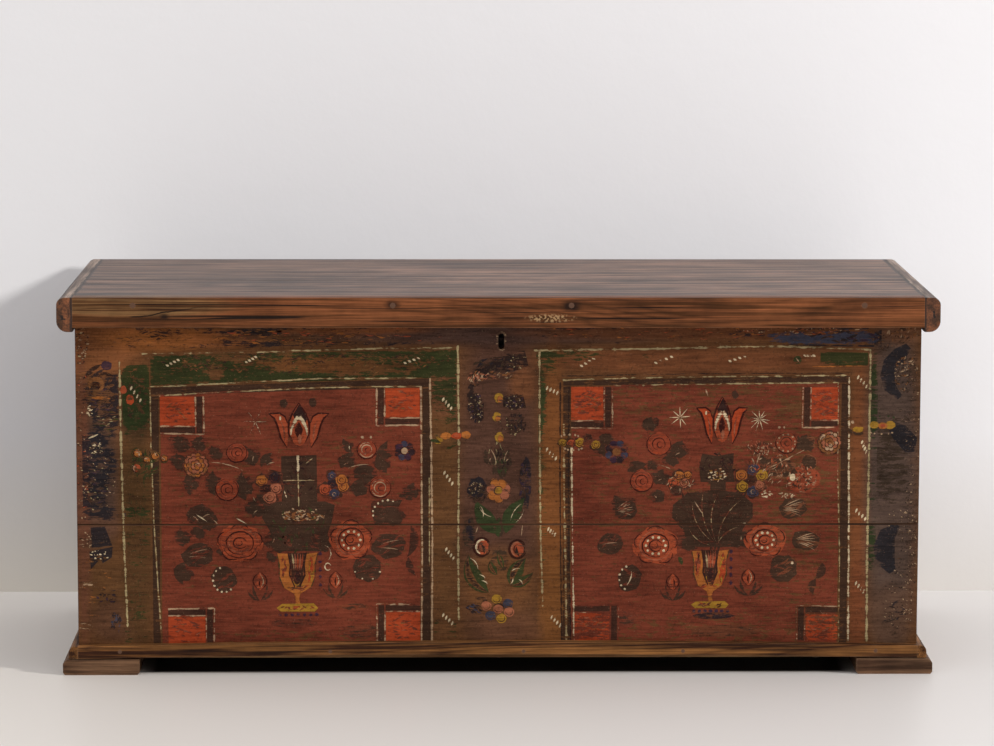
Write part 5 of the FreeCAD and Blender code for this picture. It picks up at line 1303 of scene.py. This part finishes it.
# The middle stripe: the blackened scroll, the flowers and leaves below it, and the daisy.
CENTRE_GARLAND = (
    ("ribbon", (((46, 530), (30, 526), (8, 520), (-14, 514), (-34, 504), (-43, 490)), (26, 32, 28, 24, 20, 13),
        "black", 3, 1, 0.6), (((-43, 490), (-46, 474), (-43, 452), (-37, 437), (-30, 424)), (13, 13, 22, 27, 12),
        "black", 3, 1, 0.6), (((7, 456), (20, 457), (34, 456), (43, 458)), (18, 26, 28, 26), "black", 3, 1, 0.6)),
    ("spray", (28, 420, 17, 16, 60, 10, 3, "black navy brown foliage", 3, 0.9, 60, 60), (0, 519, 40, 12, 70, 9, 3,
        "foliage navy brown black", 4, 1, 25, 40), (-38, 448, 12, 24, 50, 8, 3, "navy violet brown black", 4, 1, 80),
        (26, 456, 16, 11, 36, 8, 3, "navy violet brown black", 4, 1, 40), (-8, 500, 34, 8, 70, 7, 2.4,
        "pink chip brown bronze bronze", 5, 0.85, 15, 40)),
    ("flecks", (30, 526, 16, 14, 46, 1.9, "dull brown black", 5, 0.8)),
    ("spray", (-38, 496, 12, 12, 40, 6, 2.2, "pink chip bronze black", 5, 0.85, 60, 60)),
    ("flecks", (-38, 446, 12, 26, 70, 1.8, "dull brown black chip", 5, 0.8), (26, 456, 17, 12, 46, 1.8,
        "dull brown chip", 5, 0.8), (20, 416, 22, 16, 50, 1.7, "dull brown black", 5, 0.8)),
    ("spray", (-6, 375, 12, 30, 20, 14, 2, "dull foliage black", 4, 0.6, 90, 40)),
    ("blossoms", ((0, 464), (-3, 431), (1, 398))),
    ("leaf", ((-12, 350), (-22, 378), 8, 1), ((10, 350), (18, 378), 8, 1)),
    ("blob", (4, 356, 17, 24, "foliage", 3, 0.8, 0, 0.2)),
    ("spray", (4, 356, 14, 18, 26, 14, 3, "leaf_green black foliage", 4, 0.85, 90, 40)),
    ("brush", ((-13, 377), (-4, 352), 1.8, "chip", 5, 0.08), ((16, 376), (9, 356), 1.8, "chip", 5, -0.08)),
    ("blob", (-37, 314, 16, 16, "navy", 3, 0.85, 10, 0.2)),
    ("spray", (-35, 304, 14, 18, 40, 8, 3, "black foliage brown", 4, 0.9, 40, 60)),
    ("flecks", (-38, 312, 12, 12, 26, 1.7, "dull chip", 5, 0.7)),
    ("blob", (45, 320, 10, 42, "navy", 3, 0.7, 0, 0.15)),
    ("spray", (44, 320, 9, 40, 60, 10, 3, "violet brown navy", 4, 0.8, 90, 30)),
    ("blob", (2, 245, 10, 16, "foliage", 3, 0.8, 0, 0.2), (-48, 236, 11, 28, "foliage", 3, 0.62, 0, 0.2),
        (2, 190, 14, 24, "foliage", 3, 0.5, 0, 0.2)),
    ("petalled", (0, 308, 21, "pink ochre ochre", "yellow", 7, 0.42, 0.8)),
    ("blob", (1, 308, 4.5, 4.5, "yellow", 6, 0.95)),
    ("leaf", ((2, 236), (-38, 292), 30, 0, "leaf_green", 0.9)),
    ("brush", ((-12, 264), (-32, 280), 1.6, "cream", 5, 0.12, 0.5, 0.75), ((-30, 282), (-26, 262), 1.6, "cream", 5,
        0.12, 0.5, 0.75)),
    ("leaf", ((12, 236), (44, 296), 27, 0, "leaf_green", 0.9)),
    ("brush", ((20, 258), (38, 286), 1.6, "cream", 5, 0.1, 0.5, 0.75), ((28, 254), (42, 276), 1.4, "cream", 5, -0.1,
        0.5, 0.7)),
    ("leaf", ((-42, 222), (-48, 262), 12, 0, "navy"), ((0, 230), (2, 262), 12, 0, "leaf_green")),
    ("side_bud", (-27, 213, -1), (32, 209, 1)),
    ("brush", ((-38, 236), (-34, 248), 1.6, "chip", 5), ((38, 232), (40, 250), 1.6, "chip", 5)),
    ("ribbed_leaf", ((-16, 136), (-50, 200), 30, 0.14), ((-2, 166), (-14, 190), 14, 0.1), ((22, 146), (46, 194), 26,
        0.1), ((20, 148), (58, 170), 16, -0.1), ((8, 176), (-2, 206), 10, 0.0)),
    ("strokes", ((2, "cream", 5, 0.15, 0.5, 0.85, 5), ((-47, 194), (-34, 176)), ((-32, 166), (-22, 160)),
        ((-28, 156), (-18, 150)), ((22, 172), (36, 176)), ((24, 162), (20, 150)), ((34, 158), (40, 150)))),
    ("petal_dab", (-3, 125, "yellow"), (16, 117, "blue"), (18, 103, "pink"), (5, 92, "yellow"), (-13, 97, "blue"),
        (-20, 113, "pink")),
    ("blob", (0, 108, 9, 7, "pink", 5)),
    ("arc", (0, 109, 9, 8, -10, 150, 2.4, "black", 6), (0, 108, 6, 5, 180, 330, 1.4, "maroon", 6)),
    ("spray", (-40, 108, 14, 7, 26, 9, 3, "navy blue black", 3, 0.9, 160, 30)),
    ("blob", (-28, 122, 10, 8, "brown", 3, 0.5)),
)
# Worn indigo at the two ends and along the rim, where right under the strip it is partly painted shade.
MARGIN_LEFT = (
    ("sheet", (-690, -629, 256, (500, 503), "navy", 1, worn_by(0.08, (-656, 470, 28, 44, 0.5),
        (-640, 475, 10, 30, 0.6), (-650, 425, 22, 34, 0.75), (-674, 385, 22, 20, 0.5), (-664, 350, 30, 40, 0.72),
        (-672, 300, 22, 40, 0.72), (-645, 268, 18, 14, 0.6)), 7)),
    ("blob", (-648, 518, 9, 8, "violet", 3)),
    ("brush", ((-688, 494), (-656, 520), 9, "black", 3, 0.06, 0.5, 0.82), ((-676, 494), (-650, 512), 6, "navy", 3,
        0.06, 0.5, 0.82), ((-660, 505), (-636, 498), 7, "black", 3, 0.06, 0.5, 0.82), ((-678, 463), (-642, 462), 7,
        "ochre", 3, 0.06, 0.5, 0.82), ((-668, 458), (-648, 452), 5, "navy", 3, 0.06, 0.5, 0.82)),
    ("spray", (-660, 470, 26, 34, 90, 12, 4, "navy brown black violet", 3, 0.62, 20, 40)),
    ("arc", (-666, 485, 11, 10, -80, 210, 8, "bronze", 4, 0.72), (-666, 483, 5, 4, -60, 200, 4, "maroon", 5, 0.75),
        (-664, 482, 15, 14, 200, 330, 3, "maroon", 4, 0.7)),
    ("spray", (-650, 424, 18, 22, 50, 14, 4, "navy green black", 3, 0.66, 0, 25), (-665, 330, 24, 60, 90, 14, 4,
        "navy violet brown black", 3, 0.6, 0, 30)),
    ("brush", ((-680, 396), (-663, 403), 3.2, "cream", 5, 0, 0.5, 0.95)),
    ("flecks", (-676, 443, 6, 10, 16, 2.2, "cream chip", 5), (-667, 380, 12, 10, 26, 1.9, "cream dull", 5)),
    ("spray", (-650, 425, 16, 16, 9, 7, 1.6, "dull", 5, 0.7, 10, 20)),
    ("plate", (((-678, 246), (-654, 248), (-642, 216), (-676, 212)), "navy", 2, 0.92), (((-680, 206), (-641, 214),
        (-643, 196), (-658, 186), (-662, 194), (-678, 176)), "navy", 2, 0.95)),
    ("flecks", (-662, 200, 16, 10, 16, 2.2, "cream", 4, 1)),
    ("spray", (-650, 130, 18, 14, 22, 8, 3, "navy violet brown", 3, 0.7, 0, 60), (-637, 88, 8, 20, 22, 12, 4,
        "blue navy", 3, 0.6, 90, 30)),
    ("flecks", (-690, 400, 9, 160, 90, 2.4, "chip brown black rose", 4, 0.8), (-688, 560, 10, 40, 60, 2.6,
        "chip dull brown navy", 4, 0.8), (-662, 330, 30, 60, 50, 1.9, "dull chip", 4), (-684, 225, 10, 16, 24, 2.4,
        "chip brown", 4)),
    ("spray", (-668, 150, 22, 60, 40, 14, 3, "ochre brown", 2, 0.4, 0, 20)),
    ("sheet", (-640, -618, 262, (272, 273), "blue", 2, 0.55, 6, 0.2)),
    ("blob", (-616, 497, 9, 13, "green", 3, 0.85)),
    ("pins", ()),
)
MARGIN_RIGHT = (
    ("ribbon", (((679, 550), (664, 536), (650, 520), (645, 500), (649, 481), (666, 464)), (12, 25, 27, 24, 20, 10),
        "navy", 2, 1)),
    ("spray", (676, 502, 18, 30, 60, 8, 3, "bronze brown foliage chip", 3, 0.66, 60, 60)),
    ("flecks", (674, 502, 20, 30, 110, 2.4, "chip bronze brown foliage black", 4, 0.85)),
    ("spray", (668, 575, 26, 20, 90, 8, 2.8, "chip bronze brown foliage", 4, 0.66, 60, 60)),
    ("flecks", (640, 556, 14, 16, 30, 2.2, "bronze brown", 4, 0.75)),
    ("spray", (660, 432, 26, 16, 40, 14, 4, "foliage brown", 2, 0.45, 0, 40)),
    ("ribbon", (((648, 420), (666, 406), (682, 388), (684, 372)), (12, 30, 32, 14), "navy", 2, 1),
        (((666, 250), (649, 234), (643, 212), (646, 190), (658, 170)), (10, 28, 36, 32, 12), "navy", 2, 0.98)),
    ("spray", (664, 92, 18, 30, 46, 12, 4, "black foliage navy", 3, 0.6, 0, 60)),
    ("flecks", (688, 360, 11, 200, 300, 1.9, "chip brown brown black foliage", 4, 0.7), (684, 200, 14, 120, 150, 2.2,
        "chip foliage brown black", 4, 0.7), (668, 250, 24, 26, 40, 1.9, "chip foliage", 4, 0.7),
        (668, 120, 26, 60, 80, 2, "chip black brown", 4, 0.7)),
    ("sheet", (622, 690, 280, 450, "foliage", 1, worn_by(0.2, (650, 360, 34, 70, 0.35)), 8, 0.2)),
)
# Right under the strip the indigo is laid thicker: partly worn paint, partly painted shade of the strip.
TOP_BAND = (
    ("sheet", (-640, -6, (546, 550), RIM - 0.5, "navy", 1, worn_by(0.24, (-560, 572, 40, 8, 0.45),
        (-400, 574, 60, 6, 0.4), (-300, 556, 120, 7, 0.25), (-420, 554, 60, 6, 0.25), (-200, 572, 120, 7, -0.3),
        (-300, 595, 400, 14, 0.4), (-60, 570, 60, 16, -0.2)), 7), (14, 380, (550, 552), RIM - 0.5, "navy", 1,
        worn_by(0.06, (130, 584, 160, 6, 0.45), (60, 560, 40, 10, 0.1), (200, 598, 300, 12, 0.5)), 7),
        (380, 634, (553, 548), RIM - 0.5, "navy", 1, worn_by(0.2, (560, 562, 90, 18, 0.5), (440, 574, 70, 12, 0.3),
        (520, 598, 160, 12, 0.4)), 7), (440, 622, (553, 552), (577, 578), "blue", 2, worn_by(0.3,
        (540, 563, 84, 12, 0.5)), 7, 0.2)),
    ("spray", (560, 566, 74, 12, 60, 16, 4.4, "navy blue violet", 2, 0.9, 0, 20), (-560, 566, 70, 12, 70, 16, 3,
        "bronze brown ochre", 3, 0.5, 0, 16), (-330, 566, 150, 12, 150, 16, 3, "bronze brown rose ochre", 3, 0.6, 0,
        16), (-120, 572, 100, 12, 50, 16, 3, "brown rose foliage", 3, 0.45, 0, 16), (250, 572, 200, 12, 110, 16, 3,
        "brown rose ochre", 3, 0.45, 0, 16), (500, 578, 110, 8, 70, 14, 3, "rose brown chip", 3, 0.45, 0, 16)),
    ("flecks", (480, 577, 90, 5, 60, 2, "pink chip brown", 4, 0.7)),
)


class DressBoards(bpy.types.Operator):
    """Finish the boards, battens, strips, runners and pegs in old softwood"""

    bl_idname = "chest.boards"
    bl_label = "Boards"

    def execute(self, context):
        wood = context.scene.chest_wood
        kit = {"plank": plank_group(wood), "edge": rubbed_edge_group(wood)}
        # Pine, planed and stained outside, raw inside: warm brown with straight grain.
        raw_case = (inside_the_case, wood.inside, wood.inside_dark)
        long_case = old_board("case_pine_long", kit, wood.case, wood.case_dark, "X", raw_case)
        side_case = old_board("case_pine_side", kit, wood.case, wood.case_dark, "Y", raw_case)
        bottom = old_board("bottom_pine_raw", kit, wood.inside, wood.inside_dark, wear=0, roughness=0.65)
        # Pine worn grey by use: the finish is gone, fibres stand up and catch light.
        joints = (("X", STRIP_HIGH.x, 0.004), ("Y", LID_HIGH.y, 0.007))
        splits = (crack((0.37, -0.15), (0.53, -0.17), 0.003, "Y"), crack((-0.1, -0.2), (0.2, -0.19), 0.0025, "Y"),
                  crack((-0.62, 0.05), (-0.2, 0.06), 0.0025, "Y"))
        # The lid darkens towards its left end.
        lid = old_board("lid_pine_worn", kit, wood.lid, wood.lid_dark, "X",
                        (facing("Z"), wood.inside, wood.inside_dark), wear=0.25, roughness=0.46, grain=0.85,
                        rings=0.3, checks=1.0, dark=(darker_along_x(-0.75, 0.3, 0.3), seams(joints), *splits), shine=0.42)
        # Pine under old varnish: the warmest and glossiest of the woods.
        faded = (patch_on_front((-0.6, 0.62), (0.16, 0.02)), wood.strip_bare, wood.strip_dark)
        marks = (crack((-0.609, 0.6), (-0.455, 0.6225), 0.0016, "Z"),
                 knots(((-0.176, 0.622, 0.006), (0.118, 0.62, 0.008), (-0.55, 0.603, 0.004))))
        strip = old_board("strip_pine_varnished", kit, wood.strip, wood.strip_dark, "X", faded, roughness=0.42,
                          grain=1.5, rings=0.45, checks=1.0, dark=marks, scuffs=((0.085, 0.6), (0.04, 0.007)))
        batten = old_board("batten_pine_worn", kit, wood.batten, wood.batten_dark, "Y",
                           (facing("Y"), wood.strip, wood.strip_dark), grain=0.6, checks=1.0,
                           dark=(seams(joints[:1]),), shine=0.4)
        plinth_long = old_board("plinth_pine_front", kit, wood.plinth, wood.plinth_dark, grain=1.5)
        plinth_side = old_board("plinth_pine_side", kit, wood.plinth, wood.plinth_dark, "Y")
        runner = old_board("runner_pine_raw", kit, wood.runner, wood.runner_dark, roughness=0.6)
        peg = cut_peg(wood)
        finishes = {"front_board": long_case, "back_board": long_case, "side_board": side_case,
                    "bottom_board": bottom, "lid_board": lid, "lid_front_strip": strip, "lid_batten": batten,
                    "plinth_front": plinth_long, "plinth_left": plinth_side, "plinth_right": plinth_side,
                    "runner_left": runner, "runner_right": runner, "_pegs": peg}
        for part, finish in finishes.items():
            for node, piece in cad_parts.items():
                if part in node:
                    give_finish(piece, finish)
        return {"FINISHED"}


def give_finish(piece, finish):
    piece.data.materials.clear()
    piece.data.materials.append(finish)


class DressIron(bpy.types.Operator):
    """Finish the hinges, the lock and the nails in blackened iron"""

    bl_idname = "chest.iron"
    bl_label = "Ironwork"

    def execute(self, context):
        iron = wrought_iron(context.scene.chest_wood)
        for node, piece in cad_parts.items():
            if node.startswith(("hinge_", "lock_", "staple_", "bottom_nails", "runner_nails")):
                give_finish(piece, iron)
        return {"FINISHED"}


PAINTS = ("red", "orange", "green", "leaf_green", "navy", "blue", "violet", "cream", "dull", "brown", "foliage",
          "black", "maroon", "rose", "russet", "bronze", "pink", "ochre", "yellow", "chip")


def paint_kit(context):
    """The paints, mixed once and kept by name."""
    if not bpy.data.node_groups.get("Worn casein paint"):
        settings = context.scene.chest_paint
        group = worn_paint_group(settings)
        for name in PAINTS:
            casein_paint(name, group, getattr(settings, name))
        casein_paint("ground", group, linear(GROUND))
    return {name: bpy.data.materials[f"casein_{name}"] for name in (*PAINTS, "ground")}


def paint(context, *films):
    """Paint films, each given as (name, what lies beneath, seed, recipe)."""
    for name, beneath, seed, recipe in films:
        film = Brushwork(name, context.scene.chest_paint, beneath, seed)
        film.lay(recipe)
        film.make(paint_kit(context))
    return {"FINISHED"}


class PaintGround(bpy.types.Operator):
    """Lay the worn brown ground over the front, with the keyhole left open"""

    bl_idname = "chest.ground"
    bl_label = "Ground"

    # Half the width and height of the opening that the collar fills, its corners, and its rubbed rim.
    OPENING = (14, 22)
    SIDES = 32
    RUBBED = 3.2

    def execute(self, context):
        film = Film("front_ground", context.scene.chest_paint, ground_colour, 3)
        across, up = self.OPENING
        left, right, low, high = KEY_X - across, KEY_X + across, KEY_Z - up, KEY_Z + up
        edge, foot = HALF - film.EDGE, FOOT + film.EDGE
        for west, east, bottom, top in ((-edge, left, foot, RIM), (right, edge, foot, RIM), (left, right, foot, low),
                                        (left, right, high, RIM)):
            film.sheet(west, east, bottom, top, "ground", 0, 0)
        self.collar(film)
        film.make(paint_kit(context))
        return {"FINISHED"}

    def collar(self, film):
        """The ground close around the keyhole, and its rubbed rim."""
        straight = KEY_HALF_TALL - KEY_HALF_WIDE
        inner, middle, outer = [], [], []
        for i in range(self.SIDES):
            a = 2 * pi * i / self.SIDES
            across, up = cos(a), sin(a)
            z = KEY_Z + straight * (1 if up > 0 else -1) * (abs(up) > 0.01) + KEY_HALF_WIDE * up
            inner.append((KEY_X + KEY_HALF_WIDE * across, z))
            middle.append((KEY_X + (KEY_HALF_WIDE + self.RUBBED) * across, z + 3 * up))
            reach = min(side / max(abs(share), 1e-6) for side, share in zip(self.OPENING, (across, up)))
            outer.append((KEY_X + reach * across, KEY_Z + reach * up))
        film.band(middle, outer, "ground", 0, 0)
        film.band(inner, middle, "chip", 0, 0.42)


class PaintFields(bpy.types.Operator):
    """Paint the red fields, the green bands and the dark bands around them"""

    bl_idname = "chest.fields"
    bl_label = "Fields and bands"

    def execute(self, context):
        return paint(context, ("painted_fields", ground_colour, 5, PAINTED_FIELDS))


class PaintLines(bpy.types.Operator):
    """Rule the lime white lines and paint the orange corner squares"""

    bl_idname = "chest.lines"
    bl_label = "Lines and squares"

    def execute(self, context):
        return paint(context, ("lines_left", beneath_colour, 11, LINES_LEFT),
                     ("lines_right", beneath_colour, 12, LINES_RIGHT))


class PaintLeftPanel(bpy.types.Operator):
    """Paint the vase, the roses and the tulip of the left panel"""

    bl_idname = "chest.left_panel"
    bl_label = "Left panel"

    def execute(self, context):
        return paint(context, ("left_bouquet", beneath_colour, 21, LEFT_BOUQUET))


class PaintRightPanel(bpy.types.Operator):
    """Paint the vase, the roses and the tulip of the right panel"""

    bl_idname = "chest.right_panel"
    bl_label = "Right panel"

    def execute(self, context):
        return paint(context, ("right_bouquet", beneath_colour, 31, RIGHT_BOUQUET))


class PaintCentre(bpy.types.Operator):
    """Paint the scrolls, leaves and flowers of the middle stripe"""

    bl_idname = "chest.centre"
    bl_label = "Middle stripe"

    def execute(self, context):
        return paint(context, ("centre_garland", ground_colour, 41, CENTRE_GARLAND))


class PaintMargins(bpy.types.Operator):
    """Paint the worn indigo shapes at the two ends and along the top"""

    bl_idname = "chest.margins"
    bl_label = "Margins"

    def execute(self, context):
        return paint(context, ("margin_left", ground_colour, 51, MARGIN_LEFT),
                     ("margin_right", ground_colour, 52, MARGIN_RIGHT), ("top_band", ground_colour, 53, TOP_BAND))


class BuildStage(bpy.types.Operator):
    """Set the floor, the wall, the light and the camera"""

    bl_idname = "chest.stage"
    bl_label = "Stage"

    # How far the floor and the wall reach, in metres.
    REACH = 9

    def execute(self, context):
        settings = context.scene.chest_stage
        self.plane("floor", settings.floor, Matrix.Identity(4), 0.4)
        upright = Matrix.Translation((0, settings.wall_gap, 0)) @ Euler((radians(90), 0, 0)).to_matrix().to_4x4()
        wall = self.plane("wall", settings.wall, upright, 0.8)
        self.light(wall)
        self.camera(context)
        return {"FINISHED"}

    def plane(self, name, colour, place, roughness):
        """A broad surface that is only there for what looks at its face: the camera and reflections."""
        shape = bmesh.new()
        bmesh.ops.create_grid(shape, x_segments=2, y_segments=2, size=self.REACH, matrix=place)
        mesh = bpy.data.meshes.new(name)
        shape.to_mesh(mesh)
        shape.free()
        piece = bpy.data.objects.new(name, mesh)
        bpy.context.collection.objects.link(piece)
        material, tree, shader = new_material(f"{name}_whitewash")
        coords = add(tree, "TexCoord").node.outputs["Object"]
        # Whitewash over uneven plaster, with hollows 150 mm across.
        hollows = add(tree, "TexNoise", coords, 6.5, 6, 0.6)
        along = add(tree, "SeparateXYZ", coords).node.outputs
        across = add(tree, "MapRange", along["X"], -0.9, 0.9)
        # Painted shade: the wall and the floor darken towards the left, away from the window.
        dim = (0.85, 0.85, 0.85) if name == "wall" else (0.93, 0.91, 0.87)
        painted_shade_across = add(tree, "Mix", across, rgba(dim), rgba((1, 1, 1)), **BLENDED)
        tone = add(tree, "Mix", 1, rgba(colour), painted_shade_across, **SHADED)
        if name == "wall":
            # Warmer near the floor, and darker there towards the right.
            low = add(tree, "MapRange", along["Z"], 0.3, 0.0)
            low_tint = add(tree, "Mix", across, rgba((1.05, 1.0, 0.88)), rgba((0.8, 0.77, 0.72)), **BLENDED)
            brown = add(tree, "Mix", 1, tone, low_tint, **SHADED)
            tone = add(tree, "Mix", low, tone, brown, **BLENDED)
        if name == "floor":
            # Painted shade under the chest: the floor there is darkened to near black.
            apart = add(tree, "VectorMath", coords, (1 / 0.61, 1 / 0.285, 0), operation="MULTIPLY")
            apart = add(tree, "VectorMath", apart, operation="ABSOLUTE")
            parts = add(tree, "SeparateXYZ", apart).node.outputs
            far = add(tree, "Math", parts["X"], parts["Y"], operation="MAXIMUM")
            outside_painted_shade = add(tree, "MapRange", far, 0.94, 1.0)
            tone = add(tree, "Mix", outside_painted_shade, rgba(linear("#1c1310")), tone, **BLENDED)
        bump = add(tree, "Bump", 0.25 if name == "wall" else 0.04, 0.01, None, hollows)
        feed(shader.inputs, {"Base Color": tone, "Roughness": roughness, "Specular IOR Level": 0.25, "Normal": bump})
        path = add(tree, "LightPath").node.outputs
        seen = add(tree, "Math", path["Is Camera Ray"], path["Is Glossy Ray"], operation="MAXIMUM")
        if name == "floor":
            # Every ray sees the floor, so that it keeps the chest's shadow.
            seen = add(tree, "Math", seen, 1, operation="MAXIMUM")
        behind = add(tree, "NewGeometry").node.outputs["Backfacing"]
        front = add(tree, "Math", 1, behind, operation="SUBTRACT")
        seen = add(tree, "Math", seen, front, operation="MULTIPLY")
        clear = add(tree, "BsdfTransparent")
        whole = add(tree, "MixShader", seen, clear, shader.outputs[0])
        feed(tree.nodes["Material Output"].inputs, {"Surface": whole})
        mesh.materials.append(material)
        return piece

    def light(self, wall):
        """A window far off to the right, and an even pale room."""
        self.sun("window", (1, -0.35, 0.5), 1.9, wall, False)
        # The wall stands farther back than in a narrow room, so that the lid can open. A lamp of its own,
        # more from the front, casts the shadow there that a nearer wall would catch.
        self.sun("window_on_wall", (1, -2.34, 0.5), 1.2, wall, True)
        room = bpy.data.worlds.new("room")
        room.use_nodes = True
        tree = room.node_tree
        # More comes from the ceiling than from the dark end of the room.
        toward = add(tree, "TexCoord").node.outputs["Generated"]
        rise = add(tree, "SeparateXYZ", toward).node.outputs["Z"]
        strength = add(tree, "MapRange", rise, 0, 1, 0.38, 1.2)
        feed(tree.nodes["Background"].inputs, {"Color": rgba(linear("#fbfbff")), "Strength": strength})
        bpy.context.scene.world = room

    def sun(self, name, toward, strength, wall, only_wall):
        """Light from one direction, on the wall alone or on all but the wall."""
        lamp = bpy.data.lights.new(name, "SUN")
        lamp.energy = strength
        lamp.angle = radians(3.5)
        lamp.color = (1.0, 0.985, 0.965)
        sun = bpy.data.objects.new(name, lamp)
        sun.rotation_euler = (-Vector(toward)).to_track_quat("-Z", "Y").to_euler()
        bpy.context.collection.objects.link(sun)
        lit = bpy.data.collections.new(f"{name}_lights")
        lit.objects.link(wall)
        lit.collection_objects[0].light_linking.link_state = "INCLUDE" if only_wall else "EXCLUDE"
        sun.light_linking.receiver_collection = lit

    def camera(self, context):
        """Seen from the front, a little from the left and above."""
        data = bpy.data.cameras.new("camera")
        data.sensor_width = 36
        data.lens = 143.3
        data.clip_end = 100
        camera = bpy.data.objects.new("camera", data)
        stand = (-0.1114, -6.7724, 1.3716)
        pitch, yaw, roll = 0.13268, 0.0167, 0.00191
        turn = Euler((pi / 2 - pitch, 0, -yaw)).to_matrix() @ Matrix.Rotation(roll, 3, "Z")
        camera.matrix_world = Matrix.Translation(stand) @ turn.to_4x4()
        bpy.context.collection.objects.link(camera)
        context.scene.camera = camera
        context.scene.view_settings.view_transform = "Standard"


STEPS = (DressBoards, DressIron, PaintGround, PaintFields, PaintLines, PaintLeftPanel, PaintRightPanel,
         PaintCentre, PaintMargins, BuildStage)


class ChestPanel(bpy.types.Panel):
    """The steps that dress the chest"""

    bl_idname = "VIEW3D_PT_chest"
    bl_label = "Painted chest"
    bl_space_type = "VIEW_3D"
    bl_region_type = "UI"
    bl_category = "Chest"

    def draw(self, context):
        for step in STEPS:
            self.layout.operator(step.bl_idname)


SETTINGS = {"chest_wood": ChestWoodSettings, "chest_paint": ChestPaintSettings, "chest_stage": ChestStageSettings}
CLASSES = (*SETTINGS.values(), *STEPS, ChestPanel)


def register():
    for item in CLASSES:
        bpy.utils.register_class(item)
    for name, group in SETTINGS.items():
        setattr(bpy.types.Scene, name, bpy.props.PointerProperty(type=group))


def unregister():
    for name in SETTINGS:
        delattr(bpy.types.Scene, name)
    for item in reversed(CLASSES):
        bpy.utils.unregister_class(item)


def main():
    register()
    for step in STEPS:
        getattr(bpy.ops.chest, step.bl_idname.removeprefix("chest."))()


if __name__ == "__main__":
    main()
